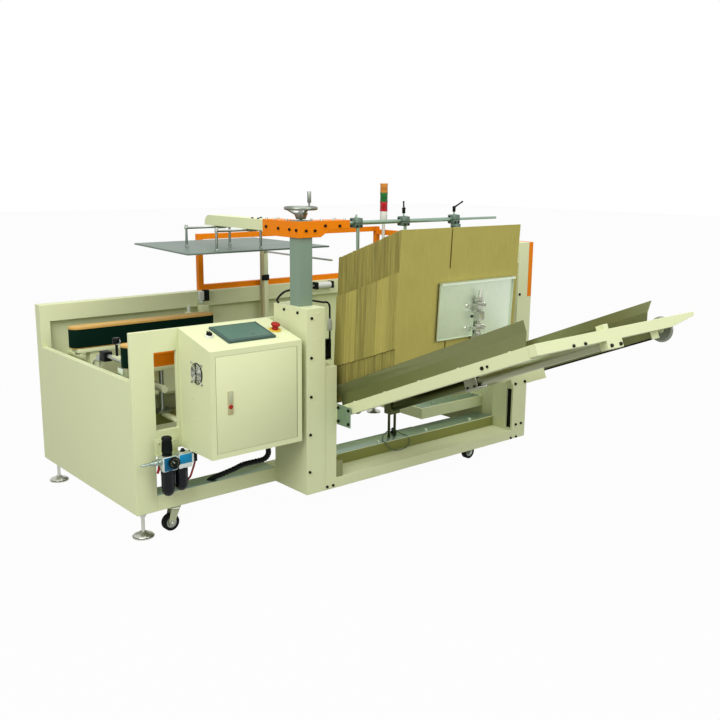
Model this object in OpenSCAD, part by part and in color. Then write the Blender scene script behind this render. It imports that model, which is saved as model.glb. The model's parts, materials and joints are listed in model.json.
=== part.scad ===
// Case erector with a sloped blank magazine, a height-set pressing head,
// two side belts and a control box. Millimetres, +Z up, floor at Z = 0.
// The machine is drawn from its discharge corner and shifted by place(),
// so that the origin lies on the floor under the middle of the whole.

/* [Body] */
// Length of the body along X
body_len = 2258; // [2000:2:2600]
// Width of the body along Y
body_wid = 1040; // [900:10:1300]
// Underside of the frame above the floor
base_z = 120; // [110:1:160]
// Top edge of the side walls
wall_top = 918; // [850:2:1000]
// Top edge of the low panel at the discharge end
end_top = 709; // [600:1:760]
// Thickness of the low end panel
end_t = 30; // [20:1:40]
// Thickness of the front wall
wall_t = 20; // [14:1:30]
// Thickness of the back wall and the right panel
shell_t = 60; // [50:1:80]
// Width of the front left leg
leg_w = 100; // [80:1:130]
// Lower edge of the front wall between its leg and the column
wall_low = 390; // [330:2:420]
// Left side of the window in the front wall
win_x = 107; // [102:1:115]
// Width of the window
win_w = 106; // [80:1:110]
// Lower edge of the window
win_low = 480; // [440:2:520]
// Upper edge of the window
win_high = 824; // [780:2:840]
// Left side of the pocket inside the back wall
pocket_x = 50; // [40:1:160]
// Depth of the pocket
pocket_d = 45; // [20:1:45]
// Upper edge of the pocket
pocket_top = 833; // [780:1:850]
// Lower edge of the pocket
pocket_low = 300; // [250:5:400]

/* [Base] */
// Depth of the front base beam
beam_d = 100; // [90:1:130]
// Height of the front base beam
beam_h = 70; // [50:1:90]
// Front plane of the portal, measured forward of the front wall
portal_d = 252; // [230:1:280]
// Depth of the portal foot beam
foot_d = 142; // [110:1:150]
// Height of the portal foot beam
foot_h = 50; // [40:1:70]
// Height of the raised sill behind the foot beam
sill_h = 105; // [80:1:130]

/* [Column and post] */
// Left side of the cream column
col_x = 722; // [715:1:740]
// Width of the cream column
col_w = 104; // [90:1:120]
// Top of the cream column
col_top = 985; // [940:1:1010]
// Width of the side post beside the column
side_w = 70; // [50:1:80]
// Top of the side post
side_top = 708; // [640:2:760]
// Width of the right post
post_w = 112; // [100:1:130]
// Top of the right post
post_top = 1213; // [1150:1:1240]
// Depth of the right post
post_d = 147; // [130:1:160]
// Width of the slot in the right post
slot_w = 36; // [20:1:45]
// Side of the square lift column
lift_s = 72; // [60:1:76]
// Centre of the lift column, measured forward of the front wall
lift_y = 142; // [135:1:150]
// Running clearance of the arm on the lift column
lift_fit = 0.4; // [0.3:0.1:0.8]

/* [Control box] */
// Left side of the control box
box_x = 226; // [222:1:240]
// Width of the control box
box_w = 464; // [430:2:480]
// Depth of the control box
box_d = 258; // [240:1:280]
// Height of its front edge under the sloping top
box_front = 853; // [830:1:880]
// Border around the door
door_rim = 30; // [24:1:40]
// Thickness of the door
door_t = 14; // [10:1:18]
// Gap around and behind the door
door_gap = 6; // [5:0.5:8]
// Diameter of the door's hinge pins
pin_dia = 6; // [5:0.5:7]
// Clearance around the hinge pins
pin_fit = 0.3; // [0.2:0.1:0.4]
// Length of the hinge pins inside the door
pin_in = 14; // [10:1:20]
// Width of the operator panel
hmi_w = 236; // [200:2:260]
// Length of the operator panel up the slope
hmi_l = 172; // [140:2:190]
// Thickness of the operator panel
hmi_t = 10; // [6:1:16]
// Diameter of the stop button
stop_dia = 42; // [30:1:50]
// Place of the stop button from the box's right side
stop_in = 55; // [45:1:65]
// Place of the stop button down the sloping top
stop_down = 136; // [120:1:150]
// Diameter of the fan grille
fan_dia = 100; // [80:1:120]
// Height of the fan's middle
fan_z = 751; // [700:1:780]
// Thin gap under parts that are screwed on
seat_gap = 0.2; // [0.1:0.1:0.4]

/* [Air unit] */
// Left bowl of the air unit, from the machine's end
air_x = 132; // [126:1:140]
// Distance between the two bowls
air_pitch = 64; // [62:1:70]
// Middle of the air unit in front of the wall
air_y = 63; // [58:1:75]
// Underside of the bodies
air_z = 322; // [300:1:330]
// Height of the bodies
air_h = 66; // [50:1:66]
// Depth of the bodies
air_d = 58; // [40:1:60]
// Length of the two bodies together
air_l = 156; // [140:1:160]
// Diameter of the bowls
bowl_dia = 60; // [46:1:61]
// Length of the straight part of the bowls
bowl_l = 86; // [60:1:95]
// Diameter of the regulator knob
knob_dia = 46; // [36:1:50]
// Height of the regulator knob
knob_h = 68; // [50:1:70]
// Diameter of the gauge
gauge_dia = 50; // [40:1:54]
// Depth of the gauge
gauge_d = 22; // [16:1:26]
// Diameter of the inlet coupling
inlet_dia = 26; // [18:1:30]
// Diameter of the outlet elbow
outlet_dia = 34; // [24:1:36]

/* [Head] */
// Underside of the arm
arm_z = 1290; // [1270:1:1300]
// Height of the arm
arm_h = 72; // [60:1:80]
// Wall of the arm around the lift column
arm_wall = 11; // [8:1:14]
// Reach of the arm over the machine, from the front wall
arm_back = 92; // [80:2:180]
// Reach of the arm along the magazine, from the lift column
arm_side = 208; // [150:2:240]
// Length of the head beam
head_len = 538; // [420:2:560]
// Width of the head beam
head_w = 70; // [50:1:80]
// Height of the head beam
head_h = 50; // [40:1:60]
// Left side of the pressing plate
plate_x = 394; // [360:2:420]
// Length of the pressing plate along X
plate_l = 811; // [700:1:860]
// Near edge of the pressing plate
plate_y = 200; // [180:5:220]
// Depth of the pressing plate
plate_d = 680; // [500:10:690]
// How far the plate's far left corner is cut back
plate_skew = 78; // [40:2:100]
// Underside of the pressing plate
plate_z = 1202; // [1190:1:1220]
// Thickness of the pressing plate
plate_t = 8; // [4:1:12]
// Diameter of the hanger rods
hang_dia = 12; // [8:1:16]
// Length of the cross rods over the pressing plate
hang_l = 262; // [200:2:300]
// Distance between the two cross rods
hang_pitch = 280; // [180:5:300]
// Diameter of the stop rod along the magazine
rod_dia = 20; // [14:1:24]
// Length of the stop rod
rod_l = 1040; // [900:10:1080]
// Height of the stop rod
stop_z = 1345; // [1330:1:1350]
// Side of the cross clamps
clamp_s = 46; // [36:1:50]
// First clamp, measured from the arm's end
clamp_1 = 70; // [40:5:120]
// Second clamp
clamp_2 = 370; // [300:5:420]
// Third clamp
clamp_3 = 720; // [620:5:760]
// Diameter of the drop rods
drop_dia = 16; // [12:1:18]
// Length of the drop rods under the stop rod
drop_l = 290; // [200:5:320]
// Radius of the handwheel
wheel_r = 76; // [70:1:100]
// Rim section of the handwheel
wheel_rim = 16; // [10:1:20]
// Lower diameter of the handwheel hub
hub_low = 42; // [34:1:46]
// Upper diameter of the handwheel hub
hub_high = 64; // [50:1:66]
// Height of the handwheel hub
hub_h = 28; // [22:1:30]
// Height of the handwheel rim
wheel_z = 1418; // [1412:1:1430]
// Diameter of the screw end that carries the handwheel
screw_dia = 14; // [10:1:18]
// Clearance between handwheel and screw end
screw_fit = 0.4; // [0.3:0.1:0.6]
// Top of the crank handle
crank_top = 1490; // [1460:1:1500]

/* [Guard and tower] */
// Left end of the guard frame on the back wall
guard_x = 917; // [880:1:960]
// Tube size of the guard frame
guard_s = 30; // [26:1:45]
// Top of the guard frame
guard_top = 1231; // [1200:1:1250]
// Width of the upright beside the right post
guard_side = 32; // [26:1:36]
// Top of the upright strip on the back wall
strip_top = 1129; // [1050:1:1160]
// Place of the upright strip along the back wall
strip_x = 1305; // [1250:5:1340]
// Width of the upright strip
strip_w = 40; // [30:1:50]
// Depth of the upright strip
strip_d = 25; // [15:1:30]
// Inner end of the thin rod on the strip
wire_y = 330; // [320:5:400]
// Diameter of the thin rod
wire_dia = 10; // [6:1:12]
// Diameter of the signal lamps
lamp_dia = 50; // [40:1:56]
// Height of one signal lamp
lamp_h = 58; // [45:1:62]
// Top of the signal tower
tower_top = 1506; // [1500:1:1600]
// Diameter of the tower pole
pole_dia = 20; // [16:1:22]
// Place of the tower's pole in front of the back wall's outside
tower_in = 115; // [100:1:130]

/* [Magazine] */
// Slope of the magazine in degrees
mag_tilt = 22.7; // [18:0.1:25]
// Height of the blank floor at the portal front
mag_z = 512; // [480:1:540]
// Length of the rails up the slope
rail_l = 1176; // [1050:2:1200]
// Width of a rail
rail_w = 55; // [45:1:60]
// Height of the left rail
rail_h = 50; // [40:1:60]
// Height of the right rail
rail_r_h = 64; // [50:1:70]
// Depth of the side plate on the right rail
side_plate = 100; // [80:1:110]
// Left side of the left rail
rail_x = 905; // [902:1:912]
// Width between the guide plates
lane_w = 784; // [700:2:800]
// Place of the guide plates on the left rail
guide_in = 23; // [18:1:30]
// Sheet thickness of the guides
guide_t = 3; // [2:0.5:4]
// Upright height of the guides
guide_h = 52; // [40:1:60]
// Height of the flared upper half of the guides
flare_h = 44; // [30:1:50]
// How far the flare leans out
flare_out = 22; // [16:1:36]
// Distance of the left guide's lower end up the slope
guide_low = 54; // [50:2:290]
// Lower end of the right guide, up the slope from the portal
guide_r_low = 250; // [200:2:290]
// Length of the guides beyond the rails before their upright cut
guide_over = 60; // [50:2:80]
// Length of the crossbar at the outer end
bar_l = 1085; // [1000:5:1200]
// Rise of the crossbar towards its right end
bar_rise = 17; // [5:1:20]
// Depth of the crossbar
bar_d = 40; // [30:1:50]
// Height of the crossbar
bar_h = 45; // [40:1:55]
// Diameter of the pusher tube
tube_dia = 50; // [40:1:54]
// Distance of the tube centre under the blank floor
tube_drop = 40; // [38:1:60]
// Height of a carton blank
blank_h = 690; // [500:5:720]
// Depth of the blank stack
stack_d = 407; // [150:1:420]
// Inner end of the stack, forward of the front wall
stack_y = 178; // [172:1:200]
// Lean of the blanks in degrees
blank_lean = 3; // [0:0.5:4]
// Side gap between blanks and guides
blank_gap = 4; // [3:0.5:8]
// Width of the pusher plate
push_w = 490; // [350:5:520]
// Height of the pusher plate
push_h = 262; // [200:2:280]
// Sheet thickness of the pusher plate
push_t = 4; // [3:0.5:6]
// Gap between pusher and front blank at rest
push_gap = 6; // [5:0.5:10]
// Height of the pusher plate's lower edge above the stack's foot
push_up = 192; // [170:2:210]
// Running clearance of the pusher collar on the tube
push_fit = 0.4; // [0.3:0.1:0.8]
// Wall of the pusher collar
push_wall = 9; // [7:1:12]
// Radius of the guide-setting handwheel
set_r = 56; // [45:1:60]
// Distance of that handwheel from the right rail
set_off = 128; // [100:2:140]
// Diameter of the pin it turns on
set_pin = 12; // [8:1:14]
// Running clearance on the pin
set_fit = 0.4; // [0.3:0.1:0.8]

/* [Belts] */
// Length of a side belt unit
belt_l = 790; // [650:5:820]
// Width of a side belt unit
belt_w = 80; // [60:1:90]
// Height of a side belt
belt_h = 88; // [70:1:95]
// Underside of the side belts
belt_z = 738; // [725:1:745]
// Thickness of a belt
belt_t = 5; // [3:0.5:6]
// Left end of the belts
belt_x = 45; // [40:1:60]
// Width of the lane between the belts
belt_lane = 485; // [420:5:500]
// Distance of the back belt's middle from the back wall
belt_back = 240; // [200:5:260]
// Place of the stub shafts from the ends of the belts
shaft_in = 120; // [100:2:140]

/* [Inside] */
// Right end of the bars behind the window
inner_x = 420; // [360:5:440]
// Left end of the orange bar
inner_l = 100; // [90:5:130]
// Near face of the bars behind the window
inner_y = 94; // [60:1:94]
// Depth of the bars behind the window
inner_d = 38; // [30:1:38]
// Underside of the orange bar
inner_z = 722; // [700:1:726]
// Height of the orange bar
inner_h = 66; // [40:1:70]
// Underside of the lower beam
low_z = 462; // [440:1:480]
// Height of the lower beam
low_h = 50; // [40:1:60]
// Depth of the low cross beam
low_d = 50; // [40:1:60]
// Place of the upright setting shaft
shaft_x = 228; // [200:1:240]
// Distance of the upright shaft from the front
shaft_y = 175; // [160:1:190]
// Diameter of the upright setting shaft
shaft_dia = 24; // [18:1:30]
// Side of the flange under the setting shaft
flange_s = 72; // [50:2:76]
// Left side of the deck in the right bay
deck_x = 1710; // [1600:10:1800]
// Thickness of the deck
deck_t = 60; // [40:5:80]
// Height of the deck over the base beams
deck_up = 60; // [0:5:80]

/* [Feet and casters] */
// Diameter of a foot pad
pad_dia = 96; // [80:1:110]
// Diameter of a foot stud
stud_dia = 16; // [12:1:20]
// Diameter of a caster wheel
cast_dia = 76; // [60:1:80]
// Width of a caster wheel
cast_w = 26; // [20:1:30]
// Trail of a caster wheel behind its swivel
cast_trail = 24; // [18:1:30]
// Gap between caster wheels and floor
cast_lift = 6; // [5:0.5:10]
// Place of the left casters from the body's left end
cast_in = 196; // [180:2:220]
// Place of the front right caster from the body's right end
cast_in_f = 266; // [240:2:290]
// Place of the back right caster from the body's right end
cast_in_b = 154; // [130:2:180]
// Place of the front left caster behind the front wall
cast_y = 30; // [24:1:36]

/* [Hidden] */
$fn = 48;
eps = 0.01;
portal_y = -portal_d;
back_in = body_wid - shell_t;
post_x = body_len - post_w;
right_in = body_len - shell_t;
side_x = col_x + col_w;
foot_back = portal_y + foot_d;
lift_x = col_x + col_w / 2;
// Front face of the arm, a wall and a fit in front of the lift column.
arm_out = lift_s / 2 + lift_fit + arm_wall;
arm_top = arm_z + arm_h;
stop_y = -lift_y - 8;
// Underside of the handwheel hub, clear of the lift column's top.
hub_z = arm_top + 8;
// Axis of the door's hinge pins.
pin_x = box_x + box_w - door_rim - 10;
pin_y = -box_d + 6.5;
// Pitch of the sloping top of the control box.
top_tilt = atan((wall_top - box_front) / box_d);
// Slope axes: u runs out and up along the magazine.
ct = cos(mag_tilt);
st = sin(mag_tilt);
guide_l_x = rail_x + guide_in;
guide_r_x = guide_l_x + lane_w;
rail_r_x = guide_r_x - guide_in;
tube_x = guide_l_x + lane_w * 0.628;
// Lowest edge of the crossbar's tube bracket under the blank floor.
bar_low = tube_drop + tube_dia / 2 + 8;
y_min = portal_y - (rail_l + bar_d) * ct - bar_low * st;
mid_y = (body_wid + y_min) / 2;
// Stack corners in Y and Z.
s_run = (stack_y - portal_d) / ct;
s_low = mag_z + s_run * st;
f_low = s_low + stack_d * tan(mag_tilt);
lean = tan(blank_lean);
push_z = f_low + push_up;
belt_mid = back_in - belt_back - (belt_lane + belt_w) / 2;
foot_in = pad_dia / 2 + 2;
cast_cz = cast_dia / 2 + cast_lift;
foot_pts = [[foot_in, foot_in], [foot_in, body_wid - foot_in],
            [body_len - foot_in, foot_in],
            [body_len - foot_in, body_wid - foot_in]];
cast_pts = [[cast_in, cast_y], [body_len - cast_in_f, foot_back + 18],
            [cast_in, body_wid - shell_t / 2],
            [body_len - cast_in_b, body_wid - shell_t / 2]];

// Middle of the setting handwheel on the slope.
set_y = set_r + 6 - rail_l;
set_z = -rail_h / 2;
tower_x = body_len - guard_side - pole_dia / 2 - 2;
tower_y = body_wid - tower_in;
// Bearing block of the pusher tube over the sill.
block_y = foot_back / 2;
block_z = mag_z - tube_drop / ct - (block_y - portal_y) * tan(mag_tilt);
tube_in = (block_y - portal_y) / ct + tube_drop * tan(mag_tilt);

// Shift from the discharge corner to the middle of the footprint.
module place() {
    translate([-body_len / 2, -mid_y, 0]) children();
}

// Box from its low corner to its high corner.
module box(a, b) {
    translate(a) cube([b[0] - a[0], b[1] - a[1], b[2] - a[2]]);
}

// Prism with a profile in Y and Z, drawn from x0 to x1.
module yz_prism(pts, x0, x1) {
    translate([x0, 0, 0]) rotate([90, 0, 90])
        linear_extrude(x1 - x0) polygon(pts);
}

// Prism with a profile in X and Z, drawn from y0 to y1.
module xz_prism(pts, y0, y1) {
    translate([0, y1, 0]) rotate([90, 0, 0])
        linear_extrude(y1 - y0) polygon(pts);
}

// Slope frame of the magazine: -Y runs up the slope, Z = 0 is the floor.
module on_slope() {
    translate([0, portal_y, mag_z]) rotate([-mag_tilt, 0, 0]) children();
}

// Frame of the sloping top of the control box, origin at its upper edge.
module on_top() {
    translate([0, 0, wall_top]) rotate([top_tilt, 0, 0]) children();
}

module round_x(x0, x1, y, z, d) {
    translate([x0, y, z]) rotate([0, 90, 0]) cylinder(d = d, h = x1 - x0);
}

module round_y(x, y0, y1, z, d) {
    translate([x, y1, z]) rotate([90, 0, 0]) cylinder(d = d, h = y1 - y0);
}

module round_z(x, y, z0, z1, d) {
    translate([x, y, z0]) cylinder(d = d, h = z1 - z0);
}

module end_panel() color("#C9CFA4") place()
    box([0, wall_t, base_z], [end_t, back_in, end_top]);

module front_wall() color("#DFE0B4") place() difference() {
    union() {
        box([0, 0, wall_low], [side_x, wall_t, wall_top]);
        box([0, 0, base_z], [leg_w, wall_t, wall_low + 1]);
    }
    box([win_x, -1, win_low], [win_x + win_w, wall_t + 1, win_high]);
}

module back_wall() color("#B9BE8C") place() difference() {
    box([0, back_in, base_z], [body_len, body_wid, wall_top]);
    box([pocket_x, back_in - 1, pocket_low],
        [right_in - pocket_x, back_in + pocket_d, pocket_top]);
}

module right_panel() color("#B9BE8C") place()
    box([right_in, portal_y + post_d, base_z], [body_len, back_in, wall_top]);

module base_frame() color("#B5BC80") place() {
    box([leg_w, 0, base_z], [right_in, beam_d, base_z + beam_h]);
    box([end_t, wall_t, base_z], [leg_w + eps, beam_d, base_z + beam_h]);
    box([side_x, portal_y, base_z], [post_x, foot_back, base_z + foot_h]);
    box([side_x + side_w, foot_back - eps, base_z], [post_x, eps, base_z + sill_h]);
}

// Cream column with the lower side post that carries the magazine.
module column() color("#D3D8A6") place() {
    box([col_x, portal_y, base_z], [side_x, 0, col_top]);
    box([side_x - eps, portal_y + 3, base_z + foot_h],
        [side_x + side_w, foot_back, side_top]);
}

module right_post() color("#CBD19F") place() difference() {
    union() {
        box([post_x, portal_y, base_z], [body_len, portal_y + post_d, wall_top]);
        box([post_x, portal_y, wall_top - 1],
            [body_len - guard_side, portal_y + post_d, post_top]);
    }
    box([post_x - 1, portal_y + 12, base_z + foot_h + 10],
        [post_x + 60, portal_y + 12 + slot_w, mag_z - 107]);
}

module lift_column() color("#8FA79B") place() {
    translate([lift_x - lift_s / 2, -lift_y - lift_s / 2, col_top])
        cube([lift_s, lift_s, arm_top + 3 - col_top]);
    round_z(lift_x, -lift_y, arm_top + 2, hub_z + hub_h + 8, screw_dia);
}

module control_box() color("#DDE0B2") place() {
    difference() {
        yz_prism([[0, wall_low], [0, wall_top], [-box_d, box_front], [-box_d, wall_low]],
            box_x, box_x + box_w);
        box([box_x + door_rim - door_gap, -box_d - 1, wall_low + door_rim - door_gap],
            [box_x + box_w - door_rim + door_gap, -box_d + door_t + door_gap + 4,
             box_front - door_rim + door_gap]);
    }
    for (z = [wall_low + door_rim - door_gap - eps, box_front - door_rim - pin_in])
        round_z(pin_x, pin_y, z, z + pin_in + door_gap + eps, pin_dia);
}

// The door turns on a pin at each end; its inner hinge edge is cut back.
module box_door() color("#D3D8A6") place() difference() {
    x1 = box_x + box_w - door_rim;
    translate([0, 0, wall_low + door_rim])
        linear_extrude(box_front - wall_low - 2 * door_rim)
        polygon([[box_x + door_rim, -box_d], [x1, -box_d],
            [x1, -box_d + door_t - 9], [x1 - 9, -box_d + door_t],
            [box_x + door_rim, -box_d + door_t]]);
    round_z(pin_x, pin_y, wall_low + door_rim - 1, wall_low + door_rim + pin_in + 1,
        pin_dia + 2 * pin_fit);
    round_z(pin_x, pin_y, box_front - door_rim - pin_in - 1, box_front - door_rim + 1,
        pin_dia + 2 * pin_fit);
}

module hmi() color("#4C6660") place() on_top()
    translate([box_x + box_w / 2 + 12 - hmi_w / 2, -38 - hmi_l, seat_gap])
    cube([hmi_w, hmi_l, hmi_t]);

// Mushroom stop button and selector switch beside the operator panel.
module controls() color("#B02020") place() on_top() {
    translate([box_x + box_w - stop_in, -stop_down, seat_gap]) {
        cylinder(d = stop_dia + 14, h = 4);
        cylinder(d = stop_dia * 0.6, h = 24);
        translate([0, 0, 22]) cylinder(d = stop_dia, h = 13);
    }
    translate([box_x + 77, -112, seat_gap]) {
        cylinder(d = 30, h = 8);
        translate([-5, -15, 7]) cube([10, 30, 14]);
    }
}

module fan_grille() color("#8C9488") place()
    round_x(box_x - 6 - seat_gap, box_x - seat_gap, -box_d * 0.55, fan_z, fan_dia);

// Filter and regulator pair with gauge, bowls, knob and inlet coupling.
module air_unit() color("#20262A") place() {
    x0 = air_x - air_l / 2 + air_pitch / 2 + 10;
    z1 = air_z + air_h;
    box([x0, -air_y - air_d / 2, air_z], [x0 + air_l, -air_y + air_d / 2, z1]);
    box([x0 + 12, -air_y + air_d / 2 - 1, z1 - 16], [x0 + 120, -seat_gap, z1 + 58]);
    round_z(air_x, -air_y, z1 - 2, z1 + 16, knob_dia * 0.65);
    round_z(air_x, -air_y, z1 + 14, z1 + 14 + knob_h, knob_dia);
    round_z(air_x, -air_y, air_z - bowl_l, air_z + 2, bowl_dia);
    translate([air_x, -air_y, air_z - bowl_l + 1]) sphere(d = bowl_dia);
    round_z(air_x + air_pitch, -air_y, air_z - bowl_l + 10, air_z + 2, bowl_dia - 2);
    translate([air_x + air_pitch, -air_y, air_z - bowl_l + 11]) sphere(d = bowl_dia - 2);
    round_y(air_x + 36, -air_y - air_d / 2 - gauge_d + 2, -air_y - air_d / 2 + 2, air_z + 30, gauge_dia);
    round_x(x0 - 36, x0 + 2, -air_y, air_z + 36, inlet_dia);
    round_x(x0 - 82, x0 - 34, -air_y, air_z + 36, inlet_dia * 0.54);
    round_x(x0 + air_l - 2, x0 + air_l + 20, -air_y, air_z + 34, outlet_dia);
}

// Head arm: a collar on the lift column, one leg over the belts and one,
// tapering, along the magazine.
module arm() color("#E07B00") place() difference() {
    union() {
        box([lift_x - arm_out, -lift_y - arm_out, arm_z],
            [lift_x + arm_out, arm_back, arm_top]);
        xz_prism([[lift_x, arm_z], [lift_x + arm_out + 30, arm_z],
            [lift_x + arm_out + 80, arm_z + arm_h * 0.42],
            [lift_x + arm_side + 36, arm_z + arm_h * 0.5],
            [lift_x + arm_side + 36, arm_top], [lift_x, arm_top]],
            -lift_y - arm_out, -lift_y + arm_out);
    }
    box([lift_x - lift_s / 2 - lift_fit, -lift_y - lift_s / 2 - lift_fit, arm_z - 1],
        [lift_x + lift_s / 2 + lift_fit, -lift_y + lift_s / 2 + lift_fit, arm_top + 1]);
}

// Head beam with its far upper corner rounded.
module head_beam() color("#DFE3BC") place() {
    x0 = lift_x - head_w / 2;
    x1 = lift_x + head_w / 2;
    y1 = arm_back + head_len;
    z0 = arm_top - 4 - head_h;
    r = head_h - 8;
    box([x0, arm_back, z0], [x1, y1 - r, z0 + head_h]);
    box([x0, y1 - r - eps, z0], [x1, y1, z0 + 8]);
    intersection() {
        round_x(x0, x1, y1 - r, z0 + 8, 2 * r);
        box([x0, y1 - r - eps, z0 + 8 - eps], [x1, y1 + 1, z0 + head_h + 1]);
    }
}

module press_plate() color("#9BB0A6") place()
    translate([plate_x, plate_y, plate_z]) linear_extrude(plate_t)
    polygon([[0, 0], [plate_l, 0], [plate_l, plate_d], [plate_skew, plate_d]]);

// Two cross rods under the head beam and four rods down to the plate.
module hangers() color("#7C8A86") place()
    for (y = [plate_y + 50, plate_y + 50 + hang_pitch]) {
        hang_z = arm_top - 4 - head_h - hang_dia / 2;
        x0 = lift_x - 205;
        round_x(x0, x0 + hang_l, y, hang_z, hang_dia);
        box([lift_x - 22, y - 12, hang_z - 8], [lift_x + 22, y + 12, arm_top - 4 - head_h]);
        for (x = [x0 + 8, x0 + hang_l - 8])
            round_z(x, y, plate_z + plate_t, hang_z + hang_dia / 2 + 4, hang_dia);
    }

// Stop rod along the magazine with three cross clamps and drop rods.
module stop_rods() color("#8A9C92") place() {
    x0 = lift_x + arm_side + 36;
    round_x(x0, x0 + rod_l, stop_y, stop_z, rod_dia);
    for (x = [x0 + clamp_1, x0 + clamp_2, x0 + clamp_3]) {
        translate([x - clamp_s / 2, stop_y - clamp_s / 2, stop_z - clamp_s / 2])
            cube(clamp_s);
        round_z(x, stop_y - 12, stop_z - drop_l, stop_z, drop_dia);
        round_z(x, stop_y, stop_z + clamp_s / 2 - 1, stop_z + clamp_s / 2 + 16, 8);
    }
    for (x = [x0 + clamp_2, x0 + clamp_3])
        translate([x, stop_y, stop_z + clamp_s / 2 + 14]) {
            cylinder(d = 16, h = 26);
            translate([0, 0, 22]) rotate([0, 58, -20]) cylinder(d = 9, h = 58);
        }
}

// Handwheel with a conical hub, three rising spokes and an upright handle.
module handwheel() color("#A9ADA0") place() translate([lift_x, -lift_y, 0]) {
    rim_r = wheel_r - wheel_rim / 2;
    rise = wheel_z - hub_z - hub_h + 8;
    run = rim_r - hub_high * 0.3;
    translate([0, 0, wheel_z]) rotate_extrude() translate([rim_r, 0]) circle(d = wheel_rim);
    difference() {
        union() {
            translate([0, 0, hub_z]) cylinder(d1 = hub_low, d2 = hub_high, h = hub_h);
            for (a = [20, 140, 260]) rotate([0, 0, a])
                translate([hub_high * 0.3, 0, wheel_z - rise]) rotate([0, atan2(run, rise), 0])
                cylinder(d = 11, h = sqrt(run * run + rise * rise));
        }
        translate([0, 0, hub_z - 1])
            cylinder(d = screw_dia + 2 * screw_fit, h = hub_h + 40);
    }
    rotate([0, 0, 20]) translate([rim_r, 0, wheel_z]) {
        cylinder(d = 9, h = crank_top - wheel_z);
        translate([0, 0, 22]) cylinder(d = 18, h = crank_top - wheel_z - 22);
    }
}

// Guard of square tube on the back wall and the right panel.
module guard() color("#D9780F") place() {
    g = guard_s;
    y0 = body_wid - g;
    box([guard_x, y0, wall_top], [body_len, body_wid, wall_top + g]);
    box([guard_x, y0, guard_top - g], [body_len, body_wid, guard_top]);
    box([guard_x, y0, wall_top + g - eps], [guard_x + g, body_wid, guard_top - g + eps]);
    box([body_len - g, y0, wall_top + g - eps], [body_len, body_wid, guard_top - g + eps]);
    x0 = body_len - guard_side;
    box([x0, portal_y, wall_top], [body_len, y0 + eps, wall_top + guard_side]);
    box([x0, portal_y, post_top - guard_side], [body_len, y0 + eps, post_top]);
    box([x0, portal_y, wall_top + guard_side - eps],
        [body_len, portal_y + g, post_top - guard_side + eps]);
}

module tower_pole() color("#C4C8C2") place() {
    round_z(tower_x, tower_y, wall_top, tower_top - 4 * lamp_h, pole_dia);
    round_z(tower_x, tower_y, tower_top - 4 * lamp_h - 1, tower_top - 3 * lamp_h, lamp_dia - 4);
}

module tower_lamps() color("#0B7A2C") place() {
    round_z(tower_x, tower_y, tower_top - 3 * lamp_h + seat_gap, tower_top, lamp_dia);
}

// Two magazine rails, the left one bolted to the side post by a plate and
// the right one carried from the right post by a bar.
module rails() color("#D9DDB0") place() {
    on_slope() box([rail_x, -rail_l, -rail_h], [rail_x + rail_w, 60, 0]);
    on_slope() box([rail_r_x, -rail_l, -rail_r_h], [rail_r_x + rail_w, 60, 0]);
    on_slope() box([rail_r_x - 5, -580, -side_plate], [rail_r_x + eps, -370, -6]);
    box([side_x + side_w, portal_y - 78, mag_z - 82], [rail_x + eps, foot_back, mag_z + 14]);
    box([rail_r_x + rail_w - eps, portal_y + 6, mag_z - 52],
        [post_x, portal_y + 46, mag_z - 14]);
    on_slope() round_x(rail_r_x + rail_w - eps, rail_r_x + rail_w + set_off + 10,
        set_y, set_z, set_pin);
}

// Crossbar at the outer end; its right end tapers past the right rail.
module crossbar() color("#E3E4BE") place() on_slope() {
    x1 = rail_x + bar_l;
    xt = rail_r_x + 2 * rail_w;
    xz_prism([[rail_x, -bar_h], [xt, bar_rise * 0.8 - bar_h], [x1 - 12, bar_rise - bar_h * 0.42],
        [x1, bar_rise - bar_h * 0.26], [x1, bar_rise - bar_h * 0.1], [x1 - 8, bar_rise],
        [rail_x, 0]], -rail_l - bar_d, -rail_l);
    box([tube_x - 95, -rail_l - bar_d, -bar_low],
        [tube_x + 5, -rail_l, bar_rise - bar_h]);
    box([tube_x - 90, -rail_l - bar_d, -eps], [tube_x - 62, -rail_l, 28]);
}

// Sheet guides on the rails, upright below and flared outwards above; their
// outer ends are cut upright.
module guides() color("#7E8A6E") place() difference() {
    a = guide_l_x;
    b = guide_r_x;
    y_end = portal_y - (rail_l - 24) * ct;
    on_slope() {
        xz_prism([[a, 0], [a, guide_h], [a - flare_out, guide_h + flare_h],
            [a - flare_out - guide_t, guide_h + flare_h - 2], [a - guide_t, guide_h - 1],
            [a - guide_t, 0]], -rail_l - guide_over, -guide_low);
        xz_prism([[b, 0], [b + guide_t, 0], [b + guide_t, guide_h - 1],
            [b + flare_out + guide_t, guide_h + flare_h - 2], [b + flare_out, guide_h + flare_h],
            [b, guide_h]], -rail_l - guide_over, -guide_r_low);
    }
    box([a - rail_l, y_end - rail_l, mag_z], [b + rail_l, y_end, mag_z + rail_l]);
}

// Pusher tube from a block on two rods over the sill to the crossbar.
module pusher_tube() color("#9AA79C") place() {
    on_slope() round_y(tube_x, -rail_l, tube_in, -tube_drop, tube_dia);
    box([tube_x - 32, block_y - 25, block_z - 34],
        [tube_x + 32, block_y + 25, block_z + 34]);
    for (dx = [-20, 20])
        round_z(tube_x + dx, block_y, base_z + sill_h, block_z - 33, 14);
}

// Stack of flat carton blanks standing on the rails.
module blanks() color("#A9A256") place()
    yz_prism([[-stack_y, s_low], [-stack_y - stack_d, f_low],
        [-stack_y - stack_d - blank_h * lean, f_low + blank_h],
        [-stack_y - blank_h * lean, s_low + blank_h]],
        guide_l_x + blank_gap, guide_r_x - blank_gap);

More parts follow.
